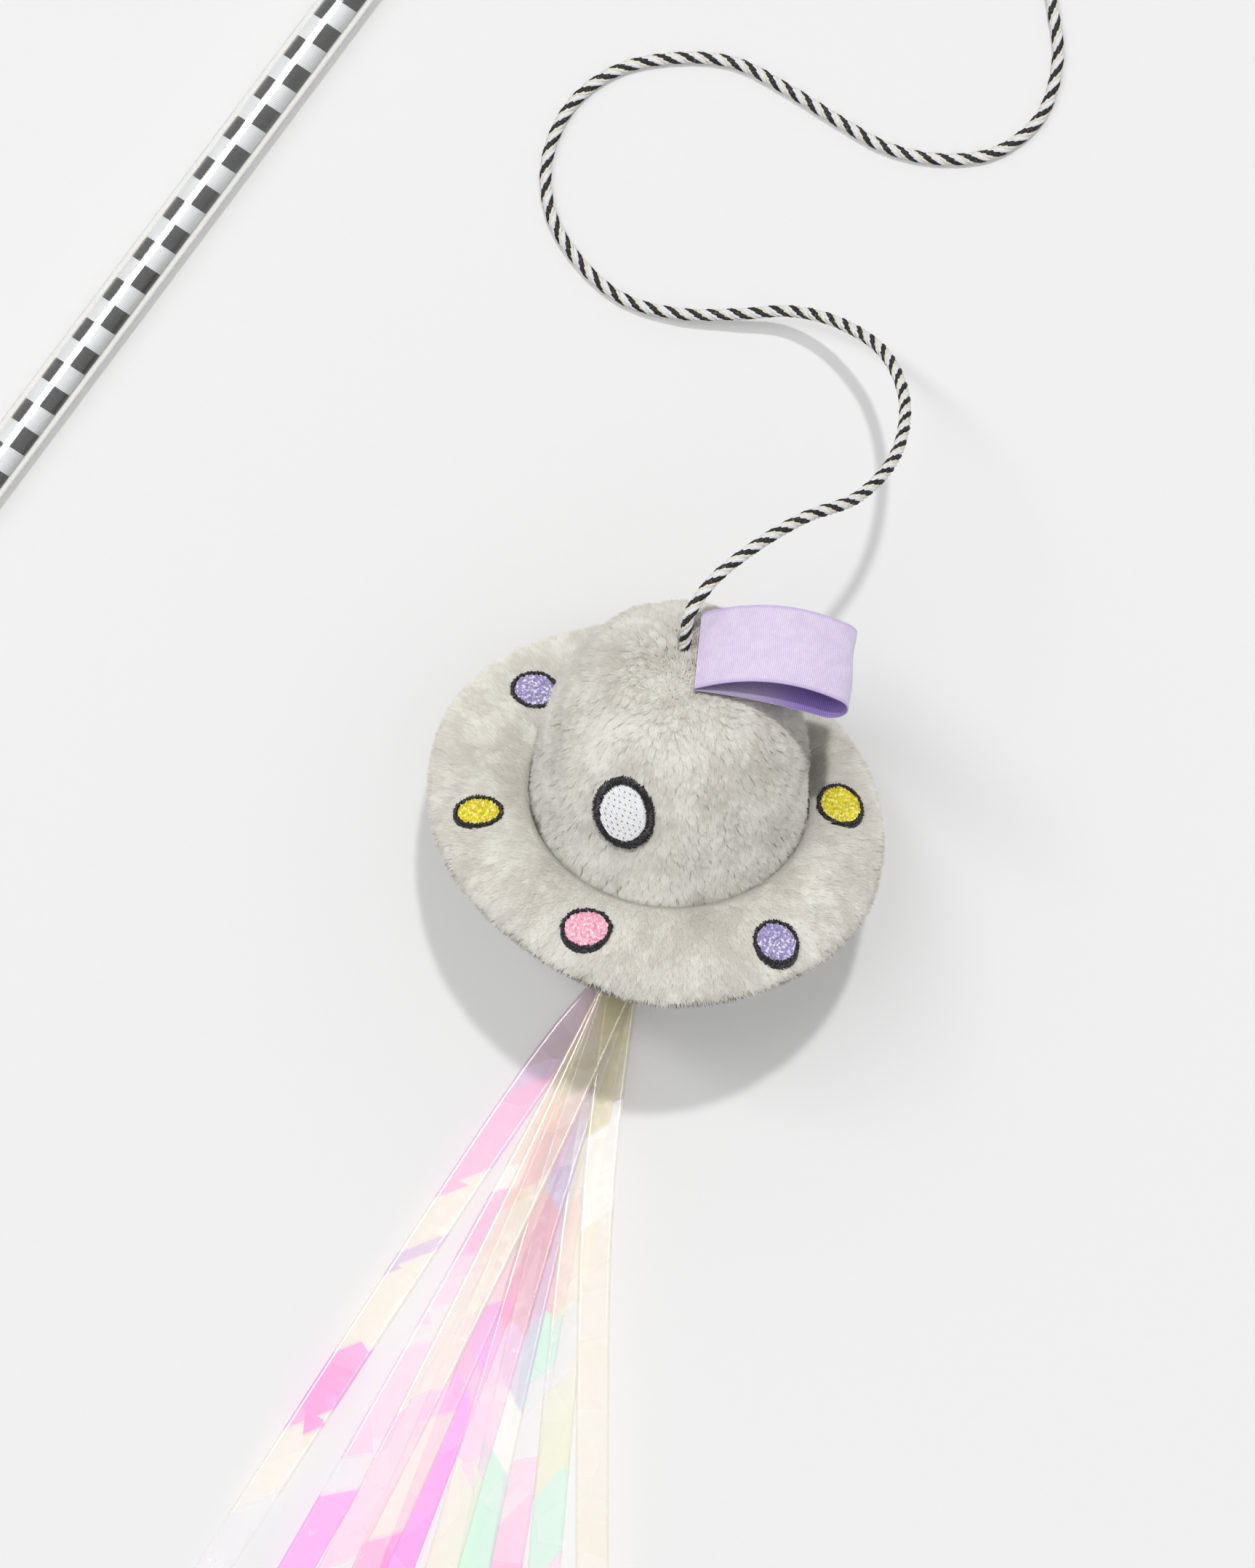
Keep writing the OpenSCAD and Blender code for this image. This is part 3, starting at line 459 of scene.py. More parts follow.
def cordFinish(bench):
    place = bench.uv("braid")
    along, round_ = place, place.out("Y")
    teeth = (along * (cord["lay"] / cord["serration"]) + round_ * 2.0).fraction()
    band = (round_ * 2.0 + (teeth - 0.5) * 0.07 + (bench.grain(900, 2) - 0.5) * 0.08).fraction()
    dark = band < 0.42
    cream = band > 0.73
    yarn = ((along * 4.0 - round_ * 9.0) * (2 * math.pi * 2.0)).wave()
    fleck = bench.grain(2600, 2).between(0.56, 0.74)
    pale = bench.blend(cream, bench.blend(yarn, tone(224, 227, 234), tone(247, 248, 251)),
                       bench.blend(yarn, tone(222, 216, 198), tone(248, 245, 233)))
    black = bench.blend(fleck, tone(30, 28, 25), tone(110, 110, 108))
    height = yarn * 0.5 + (teeth - 0.5).maths("ABSOLUTE") * -0.8
    return bench.surface({"Base Color": bench.blend(dark, pale, black), "Roughness": 0.6,
                          "Specular IOR Level": 0.25},
                         height, 0.12, 0.8)


braidedCord = newFinish("braidedCord", cordFinish)
coil = coilLine()
exitA = math.radians(cord["coilExit"])
headLead = coil[0] + [0, cord["d"], 0]
tailLead = coil[-1] + cord["d"] * np.array([-math.sin(exitA), -math.cos(exitA), 0])
fromMouth = lambda route: [[mouth[0] + x, mouth[1] + y, z] for x, y, z in route]
toyEnd = apex + cord["stub"] * toyAxis
cordPoints = ([mouth + [x, 0, 0] for x in (-0.8, 1.1, 3.3)] + fromMouth(tipRoute) + [headLead]
              + coil.tolist() + [tailLead] + fromMouth(toyRoute)
              + [toyEnd + 2 * cord["d"] * toyAxis, toyEnd + cord["d"] * toyAxis, toyEnd,
                 apex - 2.6 * toyAxis])
freeCord, cordLine = twistedRope("free_cord", cordPoints, braidedCord)
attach(freeCord, "cord")
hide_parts("cord_tip_run", "cord_coil", "cord_toy_run")


def knotLine(middle, way, size, tail):
    # an overhand knot pulled tight, with its tail led out along way
    way = unit(way)
    side = unit(np.cross(way, [0, 1, 0.3]))
    up = np.cross(way, side)
    t = np.linspace(-2.35, 2.35, 34)
    loop = np.column_stack([np.sin(t) + 2 * np.sin(2 * t), np.cos(t) - 2 * np.cos(2 * t), -np.sin(3 * t)])
    loop = middle + size * (loop[:, :1] * 0.8 * way + loop[:, 1:2] * side + loop[:, 2:] * 0.9 * up)
    if (loop[-1] - middle) @ way < (loop[0] - middle) @ way:
        loop = loop[::-1]
    return np.vstack([loop, middle + way * (size * 3.4), tail])


def knotFrom(end, way, deep, tailDeep, size):
    return knotLine(end - deep * way, way, size, end - tailDeep * way)


knots = {"tip_stopper_knot": knotFrom(mouth, np.array([1.0, 0, 0]), *cord["tipKnot"]),
         "dome_knot": knotFrom(apex, toyAxis, *cord["domeKnot"])}
for (name, route), body in zip(knots.items(), ("wand", "toy")):
    knot, _ = twistedRope(name, route, braidedCord, cord["knotThick"], cord["knotStep"])
    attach(knot, body)
    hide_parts("tip_knot" if body == "wand" else "cord_anchor")


wand = {"outer": 4.5, "wall": 1.0, "half": 208.0, "cols": 96, "round": 0.2, "ribbonR": 3.43, "ribbonT": 0.12,
        "ribbonLow": -58.0, "ribbonHigh": 64.0, "ribbonHalf": 195.7, "period": 9.534, "darkAt": 22.96,
        "darkShare": 0.492, "column": 4.55, "wide": 7.3, "twill": 0.32, "twillTurn": 70.0, "droop": 0.49,
        "droopFrom": 0.24, "fold": 0.14, "foldLine": 0.16}


def tubeFinish(bench):
    glass = bench.surface({"Base Color": (0.985, 0.98, 0.955, 1), "Roughness": 0.02, "IOR": 1.49,
                           "Transmission Weight": 1.0, "Specular IOR Level": 1.0})
    return bench.letThrough(glass, 1.0, 0.4)


# the tube is turned from a closed profile of (x, radius) pairs, in rings close enough for clean highlights
h, r, b, soft = wand["half"], wand["outer"], wand["outer"] - wand["wall"], wand["round"]
quarter = [(soft * math.cos(k * math.pi / 8), soft * math.sin(k * math.pi / 8)) for k in range(5)]
steps = np.linspace(-h + 8, h - 8, 50)
rim = ([[-h + soft - c, r - soft + s] for c, s in quarter] + [[x, r] for x in steps]
       + [[h - soft + s, r - soft + c] for c, s in quarter])
bore = [[h - 0.1, b]] + [[x, b] for x in steps[::-1]] + [[-h + 0.1, b]]
profile = np.array(rim + bore + rim[:1])
a = np.arange(wand["cols"]) / wand["cols"] * 2 * math.pi
rings = np.stack([np.broadcast_to(profile[:, :1], (len(profile), len(a))),
                  wandY + profile[:, 1:] * np.cos(a), mouth[2] + profile[:, 1:] * np.sin(a)], -1)
tube = gridPiece("clear_tube_wall", rings, newFinish("clearTube", tubeFinish), wrap=True)
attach(tube, "wand")
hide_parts("wand_tube")


def checkFinish(bench):
    # across runs from the ribbon's -Y edge in millimetres, x along the wand
    across = bench.uv("weave")
    x = across.out("Y")
    droop = (across * (wand["droop"] / wand["wide"]) + wand["droopFrom"]) * -1.0
    fold = across - ((x - wand["darkAt"]) * (2 * math.pi / wand["period"])).maths("SINE") * wand["fold"]
    right = fold < wand["column"]
    wobble = (bench.grain(160, 2) - 0.5) * 0.12
    step = ((x - wand["darkAt"] - droop + wobble) / wand["period"] + (1 - right) * 0.5).fraction()
    dark = step < wand["darkShare"]
    c, s = cosOf(wand["twillTurn"]), sinOf(wand["twillTurn"])
    line = ((x * c + across * s) * (2 * math.pi / wand["twill"])).wave()
    cross = ((across * c - x * s) * (2 * math.pi / 0.3)).wave()
    grainy = bench.grain(1500, 3)
    white = bench.blend(line * 0.8 + grainy * 0.2, tone(160, 162, 170), tone(212, 213, 217))
    speck = (cross * 0.5 + grainy * 0.5).between(0.45, 0.7) * line.between(0.35, 0.9)
    black = bench.blend(speck, tone(5, 5, 7), tone(92, 93, 98))
    middle = (fold - wand["column"]).maths("ABSOLUTE") < wand["foldLine"]
    seam = middle * 0.65 + (across < wand["foldLine"]) * 0.6
    ground = bench.blend(seam, bench.blend(dark, white, black), tone(120, 130, 150))
    # towards its +Y edge the ribbon turns cream: a painted reflection of the tube's wall
    edge = across.between(wand["wide"] - 1.0, wand["wide"] - 0.1) * 0.85
    return bench.surface({"Base Color": bench.blend(edge, ground, tone(228, 224, 214)), "Roughness": 0.7},
                         line * 0.6 + cross * 0.4, 0.05, 0.6)


turned = np.radians(np.linspace(wand["ribbonLow"], wand["ribbonHigh"], 44))[:, None]
xs = np.linspace(-wand["ribbonHalf"], wand["ribbonHalf"], 140)[None]
ring = wand["ribbonR"] - 0.012 * (1 + np.sin(xs / 7.0) * np.sin(turned * 2))
ribbonWide = math.radians(wand["ribbonHigh"] - wand["ribbonLow"]) * wand["ribbonR"]
ribbonPoints = np.stack(np.broadcast_arrays(xs, wandY + ring * np.sin(turned),
                                            mouth[2] + ring * np.cos(turned)), -1)
ribbon = gridPiece("check_weave_ribbon", ribbonPoints, newFinish("checkWeave", checkFinish),
                   u=np.linspace(0, ribbonWide, 44), v=xs[0], uvName="weave")
thicken(ribbon, wand["ribbonT"], 0)
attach(ribbon, "wand")
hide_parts("check_ribbon")


def plugFinish(bench):
    fine = bench.grain(700, 3)
    colour = bench.blend(fine, tone(28, 28, 30), tone(46, 46, 49))
    return bench.surface({"Base Color": colour, "Roughness": fine * 0.2 + 0.38}, fine, 0.04, 0.5)


def refinish(finish, *nodes):
    for name in nodes:
        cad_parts[name].data.materials.clear()
        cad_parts[name].data.materials.append(finish)


refinish(newFinish("plugBlack", plugFinish), "tip_plug", "butt_plug")
print("wand built")


# the toy's surfaces, which skin, pile and stitches share, in its own axes
def bulge(r, h, power, z):
    return r * np.maximum(0, 1 - np.abs(z / h) ** power) ** (1 / power)


def seamShare(az):
    return 1 - toy["seamDip"] * (1 - np.abs(sinOf(2 * (az - toy["seamAt"])))) ** 4


def polar(r, az, z):
    a = np.radians(az)
    return np.stack(np.broadcast_arrays(r * np.cos(a), r * np.sin(a), z), -1)


def gorePoint(az, a, height, power, inset):
    # a runs from 0 at the brim to 90 at the pole, and below 0 on the belly
    r, h = toy["domeRadius"] - inset, height - inset
    c, s = cosOf(a), sinOf(np.abs(a))
    return polar(r * c ** (2 / power) * seamShare(az), az, np.sign(a) * h * s ** (2 / power))


def brimEdge(az):
    return toy["brimRadius"] * (1 - toy["offCentre"] * cosOf(az)
                                + toy["oval"] * cosOf(2 * (az - toy["ovalAt"])))


def brimSag(s, az):
    wave = toy["warp"] * cosOf(az - toy["warpAt"]) + toy["ripple"] * sinOf(5 * az + 4)
    return toy["brimRadius"] * (wave - toy["droop"]) * s ** 1.5


def brimPuff(s):
    return 1 - toy["flat"] * (1 - np.minimum(1, 2 * s)) ** 2


def brimPoint(az, q, inset, core=0.0):
    # q runs from -1 at the inner lower edge, round the rim, to 1 at the inner upper edge
    wide = brimEdge(az) - toy["brimInner"]
    s = cosOf(90 * q) ** (2 / toy["brimPower"])
    z = np.sign(q) * np.abs(sinOf(90 * q)) ** (2 / toy["brimPower"]) * brimPuff(s)
    return polar(toy["brimInner"] + core + (wide - inset - toy["rimInset"] - core) * s, az,
                 z * (toy["brimThick"] / 2 - inset) + brimSag(s, az))


def onBrim(az, r, u, v, off):
    # a place on the brim's upper side, u outwards and v round it
    x = r + u
    d, a = np.hypot(x, v), az + np.degrees(np.arctan2(v, x))
    s = (d - toy["brimInner"]) / (brimEdge(a) - toy["brimInner"])
    out = np.maximum(s, 0)
    round_ = np.maximum(0, 1 - out ** toy["brimPower"]) ** (1 / toy["brimPower"])
    top = toy["brimThick"] / 2 * brimPuff(s) * round_
    return polar(d, a, top + brimSag(out, a) + off)


def onDome(az, z, u, v, off):
    # a place on the dome, u round it and v up it
    R, H, p = toy["domeRadius"], toy["domeHeight"], toy["domePower"]
    lean = math.atan(R / H * (z / H) ** (p - 1) * (1 - (z / H) ** p) ** (1 / p - 1))
    zz = z + v * math.cos(lean)
    a = az + np.degrees(u / bulge(R, H, p, z))
    return polar(bulge(R, H, p, zz) * seamShare(a) + off * math.cos(lean), a, zz + off * math.sin(lean))


window = {"az": 250, "z": 24.1, "w": 12.6, "h": 16.4, "line": 1.6, "sunk": 0.25, "rise": 0.4, "pitch": 0.27,
          "stitch": ((1.2, 1.5), (0.34, 0.44), (0.3, 0.4))}
dots = {"az": [3, 306, 249, 194, 142, 70], "out": [0.36, 0.64, 0.52, 0.5, 0.37, 0.5], "line": 0.7,
        "sunk": 0.4, "rise": 0.3, "pitch": 0.24, "stitch": ((1.3, 1.9), (0.3, 0.4), (0.3, 0.42)),
        "wide": [9.1, 8.9, 9.7, 9.4, 9.1, 9.1], "tall": [9.6, 8.3, 8.0, 7.1, 9.1, 9.1],
        "colour": ["yellow", "lilac", "pink"] * 2, "upright": (0.8, 0.6, 0)}
dotR = [toy["brimInner"] + o * (brimEdge(a) - toy["brimInner"]) for a, o in zip(dots["az"], dots["out"])]


# one tree plants leaning hairs on a skin
# hairs to a square millimetre on each part, then their own sizes and how they lean and are lit
pile = {"dome": 34, "belly": 12, "top": 30, "under": 12, "high": 1.55, "wide": 0.24, "cell": 1.7,
        "stray": 0.22, "sway": 0.5, "wrap": 0.2, "rimWrap": 1.1, "through": 0.8, "hem": 2.5, "foot": 1.2,
        "hole": 1.5, "from": 27.0}


def pileTree(bench, given):
    spread = bench.node("GeometryNodeDistributePointsOnFaces", {"distribute_method": "RANDOM"},
                        {"Mesh": given, "Density": given.out("Density"), "Seed": given.out("Seed")})
    outward = spread.out("Normal")
    bare = bench.node("FunctionNodeCompare", {"data_type": "FLOAT", "operation": "LESS_THAN"},
                      {0: bench.attribute("clear", "FLOAT"), 1: 0.0})
    kept = bench.node("GeometryNodeDeleteGeometry", {"domain": "POINT"}, {0: spread, 1: bare})
    place = bench.node("GeometryNodeInputPosition")
    cell = bench.cells(given.out("Cells"), place)
    drift = bench.shift("SUBTRACT", bench.grain(110.0, 1.0, place).out("Color"), (0.5, 0.5, 0.5))
    tuft = bench.shift("SCALE", bench.shift("SUBTRACT", cell.out("Position"), place),
                       scale=given.out("Cells"))
    stray = bench.node("FunctionNodeRandomValue", {"data_type": "FLOAT_VECTOR"},
                       {0: (-1, -1, -1), 1: (1, 1, 1), "Seed": given.out("Seed")})
    lie = bench.attribute("flow")
    for push, share in ((drift, "Drift"), (tuft, "Tuft"), (stray, "Stray")):
        lie = bench.shift("ADD", lie, bench.shift("SCALE", push, scale=given.out(share)))
    lie = bench.shift("SUBTRACT", lie, bench.shift("SCALE", outward, scale=bench.dot(lie, outward)))
    way = bench.shift("NORMALIZE",
                      bench.shift("ADD", lie, bench.shift("SCALE", outward, scale=given.out("Rise"))))
    soft = bench.shift("SUBTRACT", outward, bench.shift("SCALE", lie, scale=pile["sway"]))
    soft = bench.shift("NORMALIZE", bench.shift("ADD", soft, bench.attribute("wrap")))
    patch = bench.node("ShaderNodeSeparateXYZ", None, {0: cell.out("Color")})
    mottle = bench.grain(70.0, 4.0, place, 0.65).between(0.35, 0.65)
    shade = bench.chance(0.0, 1.0, 9) * 0.35 + patch * 0.25 + mottle * 0.4
    marked = bench.store(bench.store(kept, "shade", shade, "FLOAT"), "soft", soft)
    size = bench.chance(0.75, 1.15, 5) * bench.attribute("tall", "FLOAT")
    hairs = bench.copies(marked, given.out("Hair"), way, outward, "Y", size)
    faced = bench.node("GeometryNodeFlipFaces", None, {
        0: hairs, 1: bench.dot(bench.attribute("soft"), bench.node("GeometryNodeInputNormal")) < 0})
    both = bench.node("ShaderNodeCombineXYZ", None, {
        0: bench.attribute("shade", "FLOAT"), 1: bench.attribute("tip", "FLOAT")})
    return bench.finished(bench.store(faced, "OFBake", both, "FLOAT2", "CORNER"), given.out("Finish"))


pileGrower = newTree("plushPile", [
    ("Seed", "NodeSocketInt"), ("Hair", "NodeSocketObject"), ("Finish", "NodeSocketMaterial"),
    *((label, "NodeSocketFloat") for label in ("Density", "Cells", "Drift", "Tuft", "Stray", "Rise"))],
    pileTree)


def pileFinish(bench):
    place = bench.uv("OFBake")
    shade, tip = place, place.out("Y")
    root = bench.blend(shade.between(0.15, 0.85), tone(194, 190, 180), tone(217, 213, 204))
    end = bench.blend(shade.between(0.15, 0.85), tone(217, 213, 204), tone(246, 244, 237))
    hair = bench.surface({"Base Color": bench.blend(tip.between(0.0, 0.75), root, end), "Roughness": 0.75,
                          "Sheen Weight": 0.2, "Sheen Roughness": 0.4, "Specular IOR Level": 0.2})
    return bench.letThrough(hair, pile["through"])


def skinFinish(bench):
    knit = bench.cells(2200.0)
    colour = bench.blend(knit * bench.grain(300), tone(206, 202, 192), tone(220, 216, 206))
    return bench.surface({"Base Color": colour, "Roughness": 0.9}, knit, 0.1, 0.6)


plushSkin = newFinish("plushSkin", skinFinish)
plushPile = newFinish("plushPile", pileFinish)
w = pile["wide"] / 2
hair = meshPiece("hair", [[w, -w, 0], [0, 0, 0], [-w, -w, 0], [0, 0, pile["high"]]],
                 [[0, 1, 3], [1, 2, 3]], None)
note(hair, "tip", [0, 0, 0, 1])


def planted(name, points, clear, flow, tall, wrap, density, seed, drift=1.6, tuft=0.5, rise=0.6):
    seat = gridPiece(name + "_seat", points, None)
    note(seat, "clear", clear)
    note(seat, "tall", tall)
    note(seat, "flow", flow, "FLOAT_VECTOR")
    note(seat, "wrap", wrap, "FLOAT_VECTOR")
    grown = grow(name, seat, pileGrower, {
        "Density": density * 1e6, "Seed": seed, "Cells": 1 / (pile["cell"] * mm), "Drift": drift,
        "Tuft": tuft, "Stray": pile["stray"], "Rise": rise, "Hair": hair, "Finish": plushPile})
    mesh = grown.data
    at, soft = np.empty((2, len(mesh.vertices) * 3), np.float32)
    mesh.vertices.foreach_get("co", at)
    at[2::3] = np.maximum(at[2::3], 0.03 * mm)  # no hair goes through the floor
    mesh.vertices.foreach_set("co", at)
    # the pile is lit as the cloth that it covers, with a little of each hair's own lean
    mesh.attributes["soft"].data.foreach_get("vector", soft)
    mesh.attributes.remove(mesh.attributes["soft"])
    mesh.polygons.foreach_set("use_smooth", [True] * len(mesh.polygons))
    mesh.normals_split_custom_set_from_vertices(unit(soft.reshape(-1, 3)).tolist())
    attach(grown, "toy")


def padDistance(local, place, a, b):
    # how far each point is outside an oval pad, in millimetres
    middle = place(0, 0, 0)
    du, dv = unit(place(0.5, 0, 0) - middle), unit(place(0, 0.5, 0) - middle)
    d = local - middle
    u, v, away = d @ du, d @ dv, np.linalg.norm(d, axis=-1)
    reach = np.hypot(u / a, v / b)
    return np.where(away < 2.2 * max(a, b), (reach - 1) * min(a, b), 9.0)


windowPlace = lambda u, v, off: onDome(window["az"], window["z"], u, v, off - window["sunk"])


def dotPlace(k):
    # a dot's own axes on the brim, the second one upright in the photograph
    place = lambda u, v, off: onBrim(dots["az"][k], dotR[k], u, v, off)
    steps = np.column_stack([onToy(place(*uv, 0)) - onToy(place(0, 0, 0)) for uv in ((1, 0), (0, 1))])
    u, v = unit(np.linalg.lstsq(steps, dots["upright"], rcond=None)[0])
    return lambda p, m, off: place(m * u - p * v, p * u + m * v, off - dots["sunk"])


dotPlaces = [dotPlace(k) for k in range(6)]

for k in range(4):
    az = np.linspace(toy["seamAt"] + 90 * k, toy["seamAt"] + 90 * k + 90, 42)[None]
    for part, low, high in (("dome", 0, 1), ("belly", -1, 0)):
        height, power, node = toy[part + "Height"], toy[part + "Power"], part + "_gore_%d"
        top = math.degrees(math.acos((toy["pole"] / toy["domeRadius"]) ** (power / 2)))
        a = np.linspace(low * top, high * top, 56)[:, None]
        grid = gorePoint(az, a, height, power, toy["inset"])
        skin = thicken(gridPiece("%s_skin_%d" % (part, k + 1), onToy(grid), plushSkin), toy["cloth"])
        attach(skin, "toy")
        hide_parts(node % (k + 1))
        local = grid.reshape(-1, 3)
        x, y, z = local.T
        clear, combed = -pile["hem"] - z, 0.6
        if part == "dome":
            clear = np.minimum(z - pile["foot"], padDistance(
                local, windowPlace, window["w"] / 2 - 0.5, window["h"] / 2 - 0.5))
            clear, combed = np.minimum(clear, np.hypot(x, y) - pile["hole"]), 0.75
        flow = unit(np.column_stack([x * 0.15, y * 0.15, np.full(len(z), -12.0)])) * combed
        seamNear = np.abs(sinOf(2 * (np.degrees(np.arctan2(y, x)) - toy["seamAt"])))
        planted("%s_pile_%d" % (part, k + 1), onToy(grid), clear, flow @ toyTurn.T,
                0.8 + 0.2 * ease(seamNear * 4),
                np.tile(pile["wrap"] * toyAxis, (len(z), 1)), pile[part], 20 + k)
print("dome and belly planted")

az = np.linspace(0, 360, 289)[None]
for part, q0, q1 in (("top", 0, 1), ("under", -1, 0)):
    q = np.linspace(q0, q1, 30)[:, None]
    grid = brimPoint(az, q, toy["inset"])
    skin = thicken(gridPiece("brim_%s_skin" % part, onToy(grid[:, :-1]), plushSkin, wrap=True),
                   toy["cloth"])
    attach(skin, "toy")
    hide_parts("brim_%s_panel" % part)
    local = grid.reshape(-1, 3)
    radius = np.hypot(local[:, 0], local[:, 1])
    clear = radius - pile["from"]
    if part == "top":
        for place, wide, tall in zip(dotPlaces, dots["wide"], dots["tall"]):
            clear = np.minimum(clear, padDistance(local, place, wide / 2 - 0.55, tall / 2 - 0.55))
    flow = unit(local * [1, 1, 0]) * 0.9
    wrap = pile["wrap"] + pile["rimWrap"] * cosOf(90 * q) ** 3
    wrap = np.multiply.outer(wrap * np.ones_like(az), [0, 0, 1.0])
    for half, cols in enumerate((slice(0, 145), slice(144, 289))):
        share = lambda k: k.reshape(*grid.shape[:2], -1)[:, cols]
        planted("brim_%s_pile_%d" % (part, half + 1), onToy(share(grid)), share(clear),
                share(flow @ toyTurn.T),
                share(np.clip((radius - 24.5) / 4, 0.7, 1.05)), share(wrap), pile[part], 31 + half,
                drift=0.9, tuft=0.25, rise=0.4)
putAway(hair)
print("brim planted")


def waddingFinish(bench):
    fluff = bench.grain(260, 5, rough=0.7)
    colour = bench.blend(fluff, tone(212, 211, 207), tone(246, 246, 244))
    return bench.surface({"Base Color": colour, "Roughness": 0.95, "Sheen Weight": 0.5}, fluff, 0.8, 0.8)


wadding = newFinish("polyesterWadding", waddingFinish)


def lumps(p, k):
    x, y, z = np.moveaxis(p, -1, 0)
    return 0.35 * (np.sin(x * 0.41 + k) * np.sin(y * 0.37) + np.sin(z * 0.53 + 2 * k))


fillInset = {"body": 3.4, "brim": 3.6, "past": 0.6}
a = np.linspace(-88, 88, 60)[:, None]
az = (np.arange(64) / 64 * 360)[None]
body = np.where((a > 0)[..., None], *(
    gorePoint(az, way * np.abs(a), toy[part + "Height"], toy[part + "Power"], fillInset["body"])
    for part, way in (("dome", 1), ("belly", -1))))
body = body * (1 - 0.012 * (1 + lumps(body, 0.7)))[..., None]
core = gridPiece("body_wadding", onToy(body), wadding, wrap=True, caps=True)
az = (np.arange(180) / 180 * 360)[None]
ring = brimPoint(az, np.linspace(-0.9, 0.9, 26)[:, None], fillInset["brim"], fillInset["past"])
ring = ring + 0.25 * lumps(ring, 1.9)[..., None] * [0, 0, 1]
low, high = ring[0, :, 2], ring[-1, :, 2]
back = np.stack([polar(toy["brimInner"] + 0.5, az[0], high + (low - high) * t) for t in (0, 0.33, 0.67, 1)])
brimCore = gridPiece("brim_wadding", onToy(np.concatenate([ring, back, ring[:1]])), wadding, wrap=True)
for piece, node, fill in ((core, "body_filling", 0.8), (brimCore, "brim_padding", 0.6)):
    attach(piece, "toy")
    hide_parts(node)


# the embroidery: one tree lays stitches on marked points
def stitchTree(bench, given):
    points = bench.node("GeometryNodeMeshToPoints", None, {0: given})
    up, along, size = (bench.attribute(name) for name in ("up", "along", "size"))
    laid = bench.copies(points, given.out("Thread"), up, along, "X", size)
    return bench.finished(laid, given.out("Finish"))


stitchLayer = newTree("stitches", [("Thread", "NodeSocketObject"), ("Finish", "NodeSocketMaterial")],
                      stitchTree)
t = np.linspace(-0.5, 0.5, 7)[:, None]
a = (np.arange(6) / 6 * 2 * math.pi)[None]
thin = np.sqrt(np.maximum(0.05, 1 - (2 * t) ** 2)) ** 0.6
threadRings = np.stack(np.broadcast_arrays(t, 0.5 * thin * np.cos(a),
                                           0.5 * thin * np.sin(a) - 0.6 * (2 * t) ** 2), -1)
thread = gridPiece("thread", threadRings / mm, None, wrap=True, caps=True)


def threadFinish(name, dark, mid, bright):
    def build(bench):
        strand = bench.grain(1400, 2)
        # spark paints specks of highlight in the bright tone
        spark = bench.grain(1700, 2).between(0.5, 0.64)
        colour = bench.blend(strand.between(0.3, 0.7), dark, mid)
        return bench.surface({"Base Color": bench.blend(spark, colour, bright), "Roughness": 0.4,
                              "Specular IOR Level": 0.3}, bench.grain(4200, 1), 0.04, 0.5)
    return newFinish(name, build)


# each thread's dark and middle tone, and the tone of its painted highlight specks
threads = {
    "yellow": ((206, 188, 10), (240, 226, 44), (252, 246, 160)),
    "lilac": ((140, 130, 180), (176, 166, 210), (240, 238, 250)),
    "pink": ((240, 152, 184), (254, 196, 214), (255, 232, 240)),
    "white": ((246, 246, 251), (254, 254, 255), (255, 255, 255)),
    "black": ((10, 9, 11), (22, 20, 23), (70, 68, 74))}
threads = {c: threadFinish(c + "Thread", *(tone(*k) for k in tones)) for c, tones in threads.items()}
stitching = {c: [] for c in threads}  # rows of place, direction, upright and size
grounds = {c: [] for c in threads}  # the pads and rings under the stitches


def localUp(place, u, v):
    here = place(u, v, 0)
    du, dv = place(u + 0.2, v, 0) - here, place(u, v + 0.2, 0) - here
    n = unit(np.cross(du, dv))
    return n * np.sign(np.sum(n * (place(u, v, 1.0) - here), -1, keepdims=True))


def lay(colour, place, u, v, off, wayU, wayV, size):
    # a row of stitches at (u, v) on a surface, each along its own direction in (u, v)
    u, v, wayU, wayV = np.broadcast_arrays(*(np.asarray(k, float) for k in (u, v, wayU, wayV)))
    at = onToy(place(u, v, off))
    ahead = unit(onToy(place(u + 0.2 * wayU, v + 0.2 * wayV, off)) - at)
    stitching[colour].append(np.hstack([at, ahead, localUp(place, u, v) @ toyTurn.T,
                                        np.broadcast_to(size, at.shape)]))


def crownedPad(colour, place, a, b, low, rim, crown, cols=40):
    # a closed pad: a floor sunk into the pile, an upright edge and a crowned top
    t = (np.arange(cols) / cols * 2 * math.pi)[None]
    reach = np.array([1.0, 1.0, 0.97, 0.85, 0.6, 0.3, 0.04])[:, None]
    lift = np.array([low, rim - 0.15, *(rim + crown * k for k in (0, 0.4, 0.75, 0.95, 1))])[:, None]
    pad = place(a * reach * np.cos(t), b * reach * np.sin(t), lift * np.ones_like(t))
    grounds[colour].append(gridPiece("pad", onToy(pad), threads[colour], wrap=True, caps=True))


def sizes(count, *ranges):
    return np.column_stack([rng.uniform(low, high, count) for low, high in ranges])


def stitchDot(k):
    place, colour = dotPlaces[k], dots["colour"][k]
    a, b = dots["wide"][k] / 2 - dots["line"], dots["tall"][k] / 2 - dots["line"]
    crownedPad(colour, place, a, b, -1.6, 0.1, 0.35)
    for p in np.arange(-a + 0.15, a - 0.1, 0.3):
        reach = b * math.sqrt(max(0, 1 - (p / a) ** 2))
        m = np.arange(-reach + rng.uniform(0, 1.2), reach, 1.35)
        if len(m) == 0 or reach < 0.5:
            m = np.array([0.0])
        else:
            m = np.clip(m + rng.uniform(-0.2, 0.2, len(m)), -reach + 0.4, reach - 0.4)
        crown = 0.1 + 0.35 * (1 - (p / a) ** 2 - (m / b) ** 2)
        size = sizes(len(m), *dots["stitch"])
        lay(colour, place, p, m, crown + 0.06, rng.uniform(-0.16, 0.16, len(m)), 1.0, size)
    outline(place, a + dots["line"], b + dots["line"], dots)


